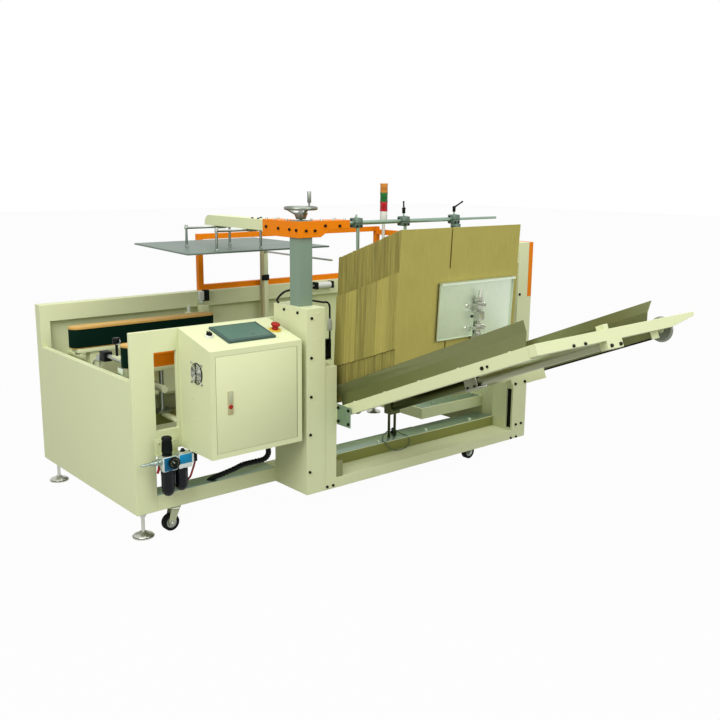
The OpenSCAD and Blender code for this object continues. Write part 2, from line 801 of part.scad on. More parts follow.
// Pusher: plate with a bent lip, an upright and a collar on the tube.
module pusher() color("#B4BDB4") place() {
    y0 = -stack_y - stack_d - push_up * lean - push_gap;
    x0 = tube_x - push_w / 2;
    yz_prism([[y0, push_z], [y0 - push_h * lean, push_z + push_h],
        [y0 - push_h * lean - 18, push_z + push_h + 4],
        [y0 - push_h * lean - 18, push_z + push_h],
        [y0 - push_h * lean - push_t, push_z + push_h - 4], [y0 - push_t, push_z]],
        x0, x0 + push_w);
    half = tube_dia / 2 + push_fit + push_wall;
    yf = y0 - push_t + 1;
    yp = y0 - 24;
    zc = mag_z - tube_drop / ct - (yp - portal_y) * tan(mag_tilt);
    difference() {
        box([tube_x - 18, yp - 10, zc], [tube_x + 18, y0, push_z + 150]);
        on_slope() round_y(tube_x, -rail_l + 1, 0, -tube_drop, tube_dia + 2 * push_fit);
        yz_prism([[yf + 90 * lean, push_z - 90], [y0 + 60, push_z - 90],
            [y0 + 60, push_z + 170], [yf - 170 * lean, push_z + 170]],
            tube_x - 30, tube_x + 30);
    }
    difference() {
        translate([0, yp, zc]) rotate([-mag_tilt, 0, 0])
            box([tube_x - half, -36, -half], [tube_x + half, 36, half]);
        on_slope() round_y(tube_x, -rail_l + 1, 0, -tube_drop, tube_dia + 2 * push_fit);
    }
}

// Handwheel that sets the right guide, on a stub beside the right rail.
module set_wheel() color("#B9C0AE") place() on_slope()
    translate([rail_r_x + rail_w + set_off, set_y, set_z]) rotate([0, 90, 0])
    difference() {
        union() {
            rotate_extrude() translate([set_r - 8, 0]) circle(d = 16);
            cylinder(d = 34, h = 18, center = true);
            for (a = [30, 150, 270]) rotate([0, 0, a])
                translate([0, -12, -5]) cube([set_r - 8, 24, 10]);
        }
        cylinder(d = set_pin + 2 * set_fit, h = 40, center = true);
    }

module stadium(l, w, h) {
    translate([w / 2, -w / 2, 0]) cube([l - w, w, h]);
    translate([w / 2, 0, 0]) cylinder(d = w, h = h);
    translate([l - w / 2, 0, 0]) cylinder(d = w, h = h);
}

// The two side belts, closed loops around upright rollers.
module belts() color("#0F2E2B") place()
    for (s = [-1, 1])
        translate([belt_x, belt_mid + s * (belt_lane + belt_w) / 2, belt_z])
        difference() {
            stadium(belt_l, belt_w, belt_h);
            translate([belt_t, 0, -1]) stadium(belt_l - 2 * belt_t, belt_w - 2 * belt_t, belt_h + 2);
        }

// Frames inside the belts with their cover plates on top.
module belt_cores() color("#C98A3A") place()
    for (s = [-1, 1])
        translate([belt_x, belt_mid + s * (belt_lane + belt_w) / 2, belt_z]) {
            i = belt_t + 0.4;
            translate([i, 0, -6]) stadium(belt_l - 2 * i, belt_w - 2 * i, belt_h + 7);
            translate([0, 0, belt_h + 1]) stadium(belt_l, belt_w, 10);
        }

// Blocks that carry the belts, on stub shafts in the walls.
module belt_shafts() color("#8A9490") place()
    for (x = [belt_x + shaft_in, belt_x + belt_l - shaft_in]) {
        y0 = belt_mid - (belt_lane + belt_w) / 2;
        y1 = belt_mid + (belt_lane + belt_w) / 2;
        round_y(x, wall_t, y0 + 20, belt_z - 85, 30);
        round_y(x, y1 - 20, back_in + pocket_d, belt_z - 85, 30);
        box([x - 30, y1 - 26, belt_z - 110], [x + 30, y1 + 26, belt_z - 6]);
        box([x - 30, inner_y + inner_d, belt_z - 110], [x + 30, y0 + 26, belt_z - 6]);
    }

// Orange bar behind the window, in front of the front belt.
module inner_bar() color("#C65A00") place()
    box([inner_l, inner_y, inner_z], [inner_x, inner_y + inner_d, inner_z + inner_h]);

// Deck in the right bay, between the back wall and the right panel.
module deck() color("#C5CB9B") place()
    box([deck_x, wall_t, base_z + beam_h + deck_up],
        [right_in, back_in, base_z + beam_h + deck_up + deck_t]);

// Upright strip on the back wall with a thin rod over the carton space.
module back_strip() color("#A9A58C") place() {
    box([strip_x, back_in - strip_d, base_z], [strip_x + strip_w, back_in, strip_top]);
    round_y(strip_x + strip_w / 2, wire_y, back_in - strip_d + 1, strip_top - 10, wire_dia);
}

// Upright setting shaft seen through the window, on its cross beam.
module inner_shaft() color("#9DA8A2") place() {
    y = shaft_y;
    z = low_z + low_h;
    round_z(shaft_x, y, z + 11, belt_z - 6, shaft_dia);
    box([shaft_x - flange_s / 2, y - flange_s / 2, z],
        [shaft_x + flange_s / 2, y + flange_s / 2, z + 12]);
    box([end_t, y - low_d / 2, low_z], [inner_x, y + low_d / 2, z + 1]);
}

// Levelling feet: dished pads on threaded studs.
module feet() color("#9AA5A0") place()
    for (p = foot_pts) translate([p[0], p[1], 0]) {
        cylinder(d = pad_dia, h = 5);
        translate([0, 0, 4]) cylinder(d1 = pad_dia - 4, d2 = 26, h = 18);
        cylinder(d = stud_dia, h = base_z);
        translate([0, 0, base_z - 28]) cylinder(d = 26, h = 12);
    }

// Caster fork on its swivel; the wheel trails towards -X.
module fork(p) place() translate([p[0], p[1], 0]) difference() {
    union() {
        translate([0, 0, base_z - 8]) cylinder(d = 52, h = 8 - seat_gap);
        for (s = [-1, 1])
            xz_prism([[20, base_z - 7], [-24, base_z - 7], [-cast_trail - 14, cast_cz + 8],
                [-cast_trail - 10, cast_cz - 12], [-cast_trail + 10, cast_cz - 12]],
                s * (cast_w / 2 + 3.5) - 1.5, s * (cast_w / 2 + 3.5) + 1.5);
    }
    round_y(-cast_trail, -30, 30, cast_cz, 10.6);
}

// Caster wheel with its axle.
module caster(p) place() translate([p[0] - cast_trail, p[1], cast_cz]) {
    rotate([90, 0, 0]) cylinder(d = cast_dia, h = cast_w, center = true);
    rotate([90, 0, 0]) cylinder(d = 10, h = cast_w + 16, center = true);
}

module fork_1() color("#C9C8B4") fork(cast_pts[0]);
module fork_2() color("#C9C8B4") fork(cast_pts[1]);
module fork_3() color("#C9C8B4") fork(cast_pts[2]);
module fork_4() color("#C9C8B4") fork(cast_pts[3]);
module caster_1() color("#1C1F20") caster(cast_pts[0]);
module caster_2() color("#1C1F20") caster(cast_pts[1]);
module caster_3() color("#1C1F20") caster(cast_pts[2]);
module caster_4() color("#1C1F20") caster(cast_pts[3]);

end_panel();
front_wall();
back_wall();
right_panel();
base_frame();
column();
right_post();
lift_column();
control_box();
box_door();
hmi();
controls();
fan_grille();
air_unit();
arm();
head_beam();
press_plate();
hangers();
stop_rods();
handwheel();
guard();
tower_pole();
tower_lamps();
rails();
crossbar();
guides();
pusher_tube();
blanks();
pusher();
set_wheel();
belts();
belt_cores();
belt_shafts();
inner_bar();
inner_shaft();
deck();
back_strip();
feet();
fork_1();
fork_2();
fork_3();
fork_4();
caster_1();
caster_2();
caster_3();
caster_4();
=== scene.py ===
"""Looks of the carton case erector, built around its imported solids."""
import json
import math
import random
from itertools import product

import bmesh
import bpy
from bpy.props import FloatProperty, FloatVectorProperty, IntProperty, PointerProperty
from mathutils import Matrix, Vector

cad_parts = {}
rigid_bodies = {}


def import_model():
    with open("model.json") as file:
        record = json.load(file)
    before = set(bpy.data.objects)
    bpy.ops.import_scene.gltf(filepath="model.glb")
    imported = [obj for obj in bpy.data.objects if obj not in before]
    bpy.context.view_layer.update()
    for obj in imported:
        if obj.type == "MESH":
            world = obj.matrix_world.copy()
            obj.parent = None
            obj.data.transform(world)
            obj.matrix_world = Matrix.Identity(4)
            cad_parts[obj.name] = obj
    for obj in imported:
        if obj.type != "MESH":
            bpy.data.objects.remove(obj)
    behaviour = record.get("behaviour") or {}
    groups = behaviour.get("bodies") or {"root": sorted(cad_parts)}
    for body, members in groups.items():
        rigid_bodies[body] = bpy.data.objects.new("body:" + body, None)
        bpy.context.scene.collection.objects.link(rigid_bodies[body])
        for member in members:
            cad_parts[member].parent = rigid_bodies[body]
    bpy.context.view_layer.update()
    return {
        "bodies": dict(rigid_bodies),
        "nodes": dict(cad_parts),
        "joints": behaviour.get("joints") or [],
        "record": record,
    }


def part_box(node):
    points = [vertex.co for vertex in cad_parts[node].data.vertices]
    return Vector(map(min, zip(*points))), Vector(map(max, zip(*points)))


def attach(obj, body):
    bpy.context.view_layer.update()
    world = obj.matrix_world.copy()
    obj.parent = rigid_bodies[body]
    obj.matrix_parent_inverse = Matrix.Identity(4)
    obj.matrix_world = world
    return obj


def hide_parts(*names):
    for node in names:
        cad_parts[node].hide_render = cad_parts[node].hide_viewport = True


bl_info = {
    "name": "Case Erector",
    "version": (1, 0, 0),
    "blender": (4, 5, 0),
    "location": "View3D > Sidebar > Case Erector",
    "description": "Dresses the packed solids of a carton case erector",
    "category": "Object",
}

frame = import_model()
NODES = frame["nodes"]

# Machine coordinates in millimetres start at the front left corner of the walls.
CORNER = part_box("front_wall")[0]
# Front of column and posts, foot and slope of the magazine floor, lean of its stack.
PORTAL_Y = -252.0
FLOOR_Z = 512.0
TILT = math.radians(22.7)
LEAN = math.tan(math.radians(3.0))
# Top of the control box at the wall and at its front, and its depth.
BOX_TOP, BOX_FRONT, BOX_DEEP = 918, 853, 258
# Middle of the pusher tube, which is TUBE_DROP below the slope's floor.
TUBE_X = 1420.4
TUBE_DROP = 40

ALONG = Vector((1, 0, 0))
BACK = Vector((0, 1, 0))
UP = Vector((0, 0, 1))
LEFT = -ALONG
FRONT = -BACK


def at(x, y, z):
    """A point in machine millimetres, as metres in the row frame."""
    return Vector((CORNER.x + x / 1000, CORNER.y + y / 1000, z / 1000))


def on_slope(x, u, w):
    """A point u up the magazine slope and w above its floor, in millimetres."""
    y = PORTAL_Y - u * math.cos(TILT) + w * math.sin(TILT)
    return at(x, y, FLOOR_Z + u * math.sin(TILT) + w * math.cos(TILT))


SLOPE_OUT = (on_slope(0, 1, 0) - on_slope(0, 0, 0)).normalized()
SLOPE_UP = (on_slope(0, 0, 1) - on_slope(0, 0, 0)).normalized()


def on_console(x, down, lift):
    """A point on the control box's sloping top: down from its upper edge, lift off it."""
    pitch = math.atan((BOX_TOP - BOX_FRONT) / BOX_DEEP)
    y = -down * math.cos(pitch) - lift * math.sin(pitch)
    return at(x, y, BOX_TOP - down * math.sin(pitch) + lift * math.cos(pitch))


CONSOLE_UP = (on_console(0, 0, 1) - on_console(0, 0, 0)).normalized()
CONSOLE_DOWN = (on_console(0, 1, 0) - on_console(0, 0, 0)).normalized()


def linear(hex_colour):
    """sRGB hex to linear RGBA."""
    out = []
    for i in (1, 3, 5):
        c = int(hex_colour[i:i + 2], 16) / 255
        out.append(c / 12.92 if c <= 0.04045 else ((c + 0.055) / 1.055) ** 2.4)
    return (*out, 1.0)


def darker(colour, share):
    """The same linear colour with its light cut by a share."""
    return (*[c * (1 - share) for c in colour[:3]], 1.0)


def per_mm(size_mm):
    """Texture scale that repeats once in that many millimetres."""
    return 1000.0 / size_mm


class ErectorSizes(bpy.types.PropertyGroup):
    """Sizes of the dressed details."""
    edge: FloatProperty(name="Sheet edge", description="Rounding of folded sheet edges",
                        default=0.002, unit="LENGTH")
    screw: FloatProperty(name="Screw head", description="Diameter of socket screw heads",
                         default=0.013, unit="LENGTH")
    boards: IntProperty(name="Blanks", description="Folded blanks in the stack", default=29)
    flap: FloatProperty(name="Flap height", description="Height of the carton flaps",
                        default=0.180, unit="LENGTH")


class ErectorColours(bpy.types.PropertyGroup):
    """Colours of the main finishes."""
    cream: FloatVectorProperty(name="Cream", description="Powder coat of the body",
                               subtype="COLOR", size=4, default=linear("#D8DDB1"))
    orange: FloatVectorProperty(name="Orange", description="Powder coat of arm and guard",
                                subtype="COLOR", size=4, default=linear("#E67E02"))
    kraft: FloatVectorProperty(name="Kraft", description="Liner of the carton blanks",
                               subtype="COLOR", size=4, default=linear("#B6AB5C"))
    column: FloatVectorProperty(name="Column", description="Enamel of the lift column",
                                subtype="COLOR", size=4, default=linear("#7E9281"))


def add(tree, kind, settings=None, links=None):
    """Adds one shader node with its settings and links."""
    n = tree.nodes.new(kind)
    for key, value in (settings or {}).items():
        if isinstance(key, int) or key in n.inputs:
            n.inputs[key].default_value = value
        else:
            setattr(n, key, value)
    for key, socket in (links or {}).items():
        tree.links.new(socket, n.inputs[key])
    return n


def blank_material(name):
    """A new node material with its shader, its object coordinates and its tree."""
    m = bpy.data.materials.new(name)
    m.use_nodes = True
    tree = m.node_tree
    tree.nodes.clear()
    shader = add(tree, "ShaderNodeBsdfPrincipled")
    add(tree, "ShaderNodeOutputMaterial", links={"Surface": shader.outputs["BSDF"]})
    place = add(tree, "ShaderNodeTexCoord").outputs["Object"]
    return m, tree, shader, place


def mottled(tree, place, a, b, size_mm, detail=3.0):
    """Colour that wanders between a and b in patches of that size."""
    patches = add(tree, "ShaderNodeTexNoise", {"Scale": per_mm(size_mm), "Detail": detail},
                  {"Vector": place})
    mix = add(tree, "ShaderNodeMix", {"data_type": "RGBA", 6: a, 7: b},
              {0: patches.outputs["Fac"]})
    return mix.outputs[2], patches.outputs["Fac"]


def grained(tree, shader, place, size_mm, depth_mm, stretch=(1, 1, 1)):
    """Relief of that grain size and depth on a shader's normal."""
    laid = add(tree, "ShaderNodeMapping", {"Scale": stretch}, {"Vector": place})
    grain = add(tree, "ShaderNodeTexNoise", {"Scale": per_mm(size_mm), "Detail": 2.0},
                {"Vector": laid.outputs["Vector"]})
    bump = add(tree, "ShaderNodeBump", {"Strength": 0.6, "Distance": depth_mm / 1000},
               {"Height": grain.outputs["Fac"]})
    tree.links.new(bump.outputs["Normal"], shader.inputs["Normal"])
    return grain.outputs["Fac"]


def spread(tree, shader, value, low, high):
    """Roughness that follows a texture between two values."""
    r = add(tree, "ShaderNodeMapRange", {"To Min": low, "To Max": high}, {"Value": value})
    tree.links.new(r.outputs["Result"], shader.inputs["Roughness"])


def powder_coat(name, colour):
    """Polyester powder coat on folded sheet steel: a satin skin with soft orange peel and
    slightly duller, darker patches where hands and cardboard dust have been. The peel is
    about 2 mm across and is drawn at 9 mm so that it shows."""
    m, tree, shader, place = blank_material(name)
    tone, patch = mottled(tree, place, darker(colour, 0.07), colour, size_mm=320)
    tree.links.new(tone, shader.inputs["Base Color"])
    grained(tree, shader, place, size_mm=9, depth_mm=0.12)
    spread(tree, shader, patch, low=0.36, high=0.5)
    shader.inputs["Specular IOR Level"].default_value = 0.14
    return m


def galvanised(name, colour, rough, metal=0.8):
    """Zinc on sheet steel: flat crystals of slightly uneven brightness, about 15 mm across and
    drawn at 26 mm, with a soft metal shine and fine rolling lines."""
    m, tree, shader, place = blank_material(name)
    crystal = add(tree, "ShaderNodeTexVoronoi", {"Scale": per_mm(26)}, {"Vector": place})
    cloud = add(tree, "ShaderNodeTexNoise", {"Scale": per_mm(160), "Detail": 3.0},
                {"Vector": place})
    both = add(tree, "ShaderNodeMix", {"data_type": "FLOAT", 0: 0.3},
               {2: cloud.outputs["Fac"], 3: crystal.outputs["Color"]})
    mix = add(tree, "ShaderNodeMix", {"data_type": "RGBA", 6: darker(colour, 0.14), 7: colour},
              {0: both.outputs[0]})
    tree.links.new(mix.outputs[2], shader.inputs["Base Color"])
    shader.inputs["Metallic"].default_value = metal
    grained(tree, shader, place, size_mm=6, depth_mm=0.03, stretch=(1, 8, 8))
    spread(tree, shader, cloud.outputs["Fac"], rough - 0.06, rough + 0.08)
    return m


def turned_steel(name, colour, rough):
    """Machined or drawn steel: fine turning marks a fraction of a millimetre apart, drawn at
    4 mm, and a bright but broken reflection."""
    m, tree, shader, place = blank_material(name)
    tone, patch = mottled(tree, place, darker(colour, 0.18), colour, size_mm=60)
    tree.links.new(tone, shader.inputs["Base Color"])
    shader.inputs["Metallic"].default_value = 1.0
    grained(tree, shader, place, size_mm=4, depth_mm=0.04, stretch=(1, 1, 6))
    spread(tree, shader, patch, rough - 0.06, rough + 0.1)
    return m


def moulded(name, colour, rough, grain_mm=3.0, shine=0.22):
    """Moulded plastic or rubber: one colour through, a fine spark-eroded grain of about 1 mm,
    drawn at 3 mm, and slightly polished high spots."""
    m, tree, shader, place = blank_material(name)
    tone, patch = mottled(tree, place, darker(colour, 0.12), colour, size_mm=45)
    tree.links.new(tone, shader.inputs["Base Color"])
    grained(tree, shader, place, size_mm=grain_mm, depth_mm=0.08)
    spread(tree, shader, patch, rough - 0.07, rough + 0.08)
    shader.inputs["Specular IOR Level"].default_value = shine
    return m


def lamp_shell(name, colour):
    """Clear-coloured polycarbonate lamp shell: deep colour, gloss skin and ribs inside that
    show as darker bands 4 mm apart, drawn at 9 mm."""
    m, tree, shader, place = blank_material(name)
    bands = add(tree, "ShaderNodeTexWave",
                {"wave_type": "BANDS", "bands_direction": "Z", "Scale": per_mm(9) / 20},
                {"Vector": place})
    mix = add(tree, "ShaderNodeMix", {"data_type": "RGBA", 6: darker(colour, 0.3), 7: colour},
              {0: bands.outputs["Fac"]})
    tree.links.new(mix.outputs[2], shader.inputs["Base Color"])
    spread(tree, shader, bands.outputs["Fac"], low=0.14, high=0.26)
    shader.inputs["Coat Weight"].default_value = 0.2
    shader.inputs["Specular IOR Level"].default_value = 0.25
    return m


def kraft_board(name, colour, streak, fibre_mm):
    """Kraft liner of corrugated board: soft brown paper with long fibres about 1 mm wide,
    drawn at 6 mm, and a cloudy tone. On the stack's sides the cut edges of several boards
    show as broader upright streaks."""
    m, tree, shader, place = blank_material(name)
    tone, patch = mottled(tree, place, darker(colour, 0.16), colour, size_mm=120, detail=6.0)
    laid = add(tree, "ShaderNodeMapping", {"Scale": (1, 1, 0.06)}, {"Vector": place})
    fibre = add(tree, "ShaderNodeTexNoise", {"Scale": per_mm(fibre_mm), "Detail": 5.0},
                {"Vector": laid.outputs["Vector"]})
    mix = add(tree, "ShaderNodeMix",
              {"data_type": "RGBA", "blend_type": "MULTIPLY", 0: streak},
              {6: tone, 7: fibre.outputs["Fac"]})
    tree.links.new(mix.outputs[2], shader.inputs["Base Color"])
    bump = add(tree, "ShaderNodeBump", {"Strength": 0.35, "Distance": 0.0004},
               {"Height": fibre.outputs["Fac"]})
    tree.links.new(bump.outputs["Normal"], shader.inputs["Normal"])
    spread(tree, shader, patch, low=0.78, high=0.92)
    shader.inputs["Specular IOR Level"].default_value = 0.25
    return m


# Finishes with one colour, by the way they are made: key, name and colour, then roughness
# where it differs, and metal share of zinc or grain size in mm and shine of mouldings.
RANGE = {
    powder_coat: (
        # Painted shade: olive, darker than the body and satin, on covers where parts lie in shade.
        ("shade", "Olive_painted_shade", "#868A4C"),
    ),
    galvanised: (
        # New zinc: pale grey-green with a soft shine.
        ("zinc", "Galvanised_sheet", "#DCE8D2", 0.34),
        # Blue-passivated zinc: cooler and darker, a little smoother.
        ("sill", "Blue_zinc_sill_strip", "#93AC9A", 0.3),
        # Worn zinc: dark grey-green, with part of the metal's shine gone.
        ("plate", "Zinc_pressing_plate", "#627568", 0.4, 0.6),
        # Zinc with painted shade and a painted reflection of the kraft stack: olive and darker, with
        # some of the shine gone.
        ("dull_zinc", "Olive_zinc_painted_shade", "#7F8458", 0.32, 0.75),
    ),
    turned_steel: (
        # Steel with painted shade: dark olive, with long soft highlights.
        ("olive_steel", "Olive_steel_painted_shade", "#4C5230", 0.4),
        # Cold-drawn tube: grey-olive and evenly bright along its length.
        ("tube", "Drawn_steel_tube", "#8E9274", 0.34),
        # Ground bar: neutral grey and a clear reflection.
        ("steel", "Ground_steel_bar", "#A7AFA6", 0.3),
        # Polished casting: warm pale grey with bright edges.
        ("bright", "Cast_aluminium_polished", "#C6C8BC", 0.3),
        # Blasted die casting: silvery and dull, with broad highlights.
        ("diecast", "Die_cast_aluminium_blasted", "#D4DDD6", 0.45),
        # Ground cast iron: mid grey, slightly broken reflection.
        ("wheel", "Cast_iron_wheel_ground", "#868C82", 0.36),
        # Black oxide on screw steel: near black with a dull metal gleam.
        ("oxide", "Black_oxide_screw_steel", "#2A2B24", 0.45),
        # Nickel on brass: cool silver, the smoothest of the metals.
        ("brass", "Nickelled_brass_coupling", "#9BA9A0", 0.28),
    ),
    moulded: (
        # Smoked polycarbonate: black with a gloss skin.
        ("bowl", "Black_polycarbonate_bowl", "#070C10", 0.25, 3.0, 0.2),
        # Grey ivory moulding: satin, without bright spots.
        ("ivory", "Grey_ivory_moulding", "#B4B898", 0.45),
        # Beige nylon: satin, a little chalky.
        ("beige", "Beige_sensor_nylon", "#B9B086", 0.5),
        # Black nylon: deep, with only a faint gleam.
        ("black", "Black_moulded_nylon", "#0C1210", 0.42, 3.0, 0.1),
        # Tyre rubber: matt and near black.
        ("rubber", "Black_rubber_tyre", "#141616", 0.7, 3.0, 0.08),
        # Belt cover: dark green, matt, with a coarser grain.
        ("belt", "Dark_green_belt_cover", "#051F15", 0.7, 6.0, 0.04),
        # Slide plastic: warm tan and satin.
        ("tan", "Tan_slide_plastic", "#CFA356", 0.5),
        # Panel frame: dark grey-green and satin.
        ("bezel", "Grey_green_panel_bezel", "#4A625A", 0.4),
        # Smoked screen: smooth, with broad faint waves in place of a grain.
        ("screen", "Smoked_touch_screen", "#567466", 0.3, 30.0),
        # Stop button: strong red with a half-gloss cap.
        ("red", "Red_stop_button_nylon", "#A02015", 0.32),
        # Collar under the stop button: warm yellow and satin.
        ("yellow", "Yellow_collar_nylon", "#D9B53A", 0.4),
        # Blue cover: bright and half-gloss.
        ("blue", "Blue_moulded_cover", "#0A8FC4", 0.35),
        # Dark blue cover: deeper and duller than the blue one.
        ("navy", "Dark_blue_moulded_cover", "#0B5F86", 0.4),
        # Polyurethane tube: soft red and half-gloss.
        ("red_tube", "Red_polyurethane_tube", "#A83A32", 0.35),
        # White nylon: slightly grey and satin.
        ("white", "White_moulded_nylon", "#D8DBD2", 0.45),
    ),
    lamp_shell: (
        # Red shell: full red with darker bands.
        ("lamp_red", "Red_lamp_shell", "#B80818"),
        # Green shell: deep green, the darkest of the three.
        ("lamp_green", "Green_lamp_shell", "#026A20"),
        # Amber shell: the palest of the three.
        ("lamp_amber", "Amber_lamp_shell", "#CF8426"),
    ),
}
FINISH = {}


def make_finishes(colours):
    """Every finish on the machine, by its own key."""
    # Satin skins: warm pale body, strong orange of moving and guarding parts, cool column.
    for key, name in (("cream", "Cream_powder_coat"), ("orange", "Orange_powder_coat"),
                      ("column", "Grey_green_column_enamel")):
        FINISH[key] = powder_coat(name, tuple(getattr(colours, key)))
    # Matt boards: even on their faces, streaked where the cut edges of many lie side by side.
    for key, name, share, streak, fibre_mm in (
            ("kraft", "Kraft_corrugated_board", 0.0, 0.22, 6),
            ("flap", "Kraft_board_cut_edge", -0.04, 0.85, 14),
            ("edge_board", "Kraft_board_side", 0.0, 0.6, 20),
            ("edge_pale", "Kraft_board_side_pale", -0.14, 0.4, 20)):
        FINISH[key] = kraft_board(name, darker(tuple(colours.kraft), share), streak, fibre_mm)
    for make, rows in RANGE.items():
        for key, name, colour, *rest in rows:
            FINISH[key] = make(name, linear(colour), *rest)


def directions(origin, x, y, z):
    """Matrix from millimetres along three directions to the row frame."""
    turn = Matrix((x, y, z)).transposed().to_4x4()
    return Matrix.Translation(origin) @ turn @ Matrix.Scale(0.001, 4)


MACHINE = directions(at(0, 0, 0), ALONG, BACK, UP)
SLOPE = directions(on_slope(0, 0, 0), ALONG, SLOPE_OUT, SLOPE_UP)
CONSOLE = directions(on_console(0, 0, 0), ALONG, CONSOLE_DOWN, CONSOLE_UP)
# Front face of the leaning stack, from its foot: along, out towards the pusher, up the boards.
STACK_FOOT = (0, -585, 651.3)
STACK_UP = Vector((0, -LEAN, 1)).normalized()
STACK = directions(at(*STACK_FOOT), ALONG, STACK_UP.cross(ALONG) * -1, STACK_UP)


def spokes(degrees, across, up):
    """Unit directions out from a middle and along its rim, at angles from across to up."""
    for a in degrees:
        c, s = math.cos(math.radians(a)), math.sin(math.radians(a))
        yield across * c + up * s, up * c - across * s


def flowing(points, steps=8):
    """Smooth line through points."""
    p = [Vector(q) for q in points]
    p = [p[0] * 2 - p[1]] + p + [p[-1] * 2 - p[-2]]
    out = []
    for i in range(1, len(p) - 2):
        for k in range(steps):
            t = k / steps
            out.append(0.5 * (2 * p[i] + (p[i + 1] - p[i - 1]) * t
                              + (2 * p[i - 1] - 5 * p[i] + 4 * p[i + 1] - p[i + 2]) * t * t
                              + (3 * p[i] - p[i - 1] - 3 * p[i + 1] + p[i + 2]) * t ** 3))
    out.append(p[-2])
    return out


class Draft:
    """Mesh of one piece while it is drawn, in millimetres of a frame."""

    def __init__(self, frame=MACHINE):
        self.bm = bmesh.new()
        self.frame = frame
        self.finishes = []

    def index(self, finish):
        """Material index of a finish, which joins the piece's list at its first use."""
        if finish not in self.finishes:
            self.finishes.append(finish)
        return self.finishes.index(finish)

    def corner(self, place):
        """New corner of the mesh at a place in the frame."""
        return self.bm.verts.new(self.frame @ Vector(place))

    def circle(self, middle, side, other, radius, seg):
        """Corners round a middle, in the plane of two directions."""
        turns = [2 * math.pi * k / seg for k in range(seg)]
        return [self.corner(middle + (side * math.cos(t) + other * math.sin(t)) * radius)
                for t in turns]

    def skin(self, loops, finish, closed=False):
        """Faces from loop to loop, with end faces or back to the first loop. A loop of one
        corner is a tip."""
        index = self.index(finish)
        made = []
        for a, b in zip(loops, loops[1:] + loops[:closed]):
            seg = max(len(a), len(b))
            for k in range(seg):
                n = (k + 1) % seg
                if len(a) == 1:
                    made.append([a[0], b[n], b[k]])
                elif len(b) == 1:
                    made.append([a[k], a[n], b[0]])
                else:
                    made.append([a[k], a[n], b[n], b[k]])
        if not closed:
            made += [loop for loop in (loops[0], loops[-1]) if len(loop) > 1]
        for corners in made:
            self.bm.faces.new(corners).material_index = index

    def block(self, lo, hi, finish, edge=1.0):
        """Box between two corners, with rounded edges; gives its six sides."""
        verts = bmesh.ops.create_cube(self.bm, size=1.0)["verts"]
        for v in verts:
            v.co = self.frame @ Vector([(a + b) / 2 + c * (b - a)
                                        for a, b, c in zip(lo, hi, v.co)])
        sides = list(dict.fromkeys(f for v in verts for f in v.link_faces))
        for f in sides:
            f.material_index = self.index(finish)
        if edge:
            bmesh.ops.bevel(self.bm, geom=list(dict.fromkeys(e for f in sides for e in f.edges)),
                            offset=edge / 1000, segments=2, affect="EDGES", profile=0.5, material=-1)
        return sides

    def turned(self, base, axis, profile, finish, seg=32):
        """Turned solid: radius and height pairs along an axis."""
        axis = Vector(axis).normalized()
        side = axis.orthogonal().normalized()
        loops = [self.circle(Vector(base) + axis * height, side, axis.cross(side), radius,
                             seg if radius else 1) for radius, height in profile]
        self.skin(loops, finish)

    def rod(self, a, b, radius, finish, seg=24, chamfer=0.8):
        """Straight round bar between two points, with small chamfers."""
        a, b = Vector(a), Vector(b)
        long = (b - a).length
        self.turned(a, b - a, [(radius - chamfer, 0), (radius, chamfer), (radius, long - chamfer),
                               (radius - chamfer, long)], finish, seg)

    def tube(self, points, radius, finish, seg=12, ribs=(1.0,)):
        """Round tube along a line; ribs are radius factors that repeat along it."""
        p = [Vector(q) for q in points]
        away = (p[1] - p[0]).orthogonal().normalized()
        loops = []
        for i, q in enumerate(p):
            ahead = (p[min(i + 1, len(p) - 1)] - p[max(i - 1, 0)]).normalized()
            away = (away - ahead * away.dot(ahead)).normalized()
            loops.append(self.circle(q, away, ahead.cross(away), radius * ribs[i % len(ribs)], seg))
        self.skin(loops, finish)

    def ring(self, middle, axis, radius, wire, finish, seg=40, sides=10):
        """Wire bent to a closed ring."""
        axis = Vector(axis).normalized()
        side = axis.orthogonal().normalized()
        loops = [self.circle(Vector(middle) + out * radius, out, axis, wire, sides)
                 for out, _ in spokes([360 * k / seg for k in range(seg)], side, axis.cross(side))]
        self.skin(loops, finish, closed=True)

    def slab(self, outline, depth, finish):
        """Plate with a drawn outline, pushed along a depth."""
        self.skin([[self.corner(Vector(q) + push) for q in outline]
                   for push in (Vector(), Vector(depth))], finish)

    def socket_screw(self, place, axis, head, finish="oxide"):
        """Cap screw head with its socket, sunk a little in its seat."""
        r = head / 2
        self.turned(place, axis, [(r, -0.5), (r, r * 0.75), (r * 0.86, r * 0.95),
                                  (r * 0.52, r * 0.95)], finish, 24)
        self.turned(place, axis, [(r * 0.52, r * 0.95), (r * 0.46, r * 0.4), (0, r * 0.36)], finish, 6)

    def hex_nut(self, place, axis, across, high, finish="steel"):
        """Hexagon nut or bolt head with chamfered corners on a washer."""
        r = across / math.sqrt(3)
        self.turned(place, axis, [(r * 1.25, -0.4), (r * 1.25, 1.6), (r * 0.9, 1.8)], finish, 24)
        self.turned(place, axis, [(r, 1.5), (r, high - 1.2), (r * 0.86, high), (0, high)], finish, 6)

    def piece(self, name, body, stands_for=(), angle=38):
        """Makes the named object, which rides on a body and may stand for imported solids."""
        bmesh.ops.recalc_face_normals(self.bm, faces=self.bm.faces[:])
        me = bpy.data.meshes.new(name)
        self.bm.to_mesh(me)
        self.bm.free()
        for f in self.finishes:
            me.materials.append(FINISH[f])
        me.shade_smooth()
        me.set_sharp_from_angle(angle=math.radians(angle))
        ob = bpy.data.objects.new(name, me)
        bpy.context.scene.collection.objects.link(ob)
        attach(ob, body)
        if stands_for:
            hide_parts(*stands_for)
        return ob


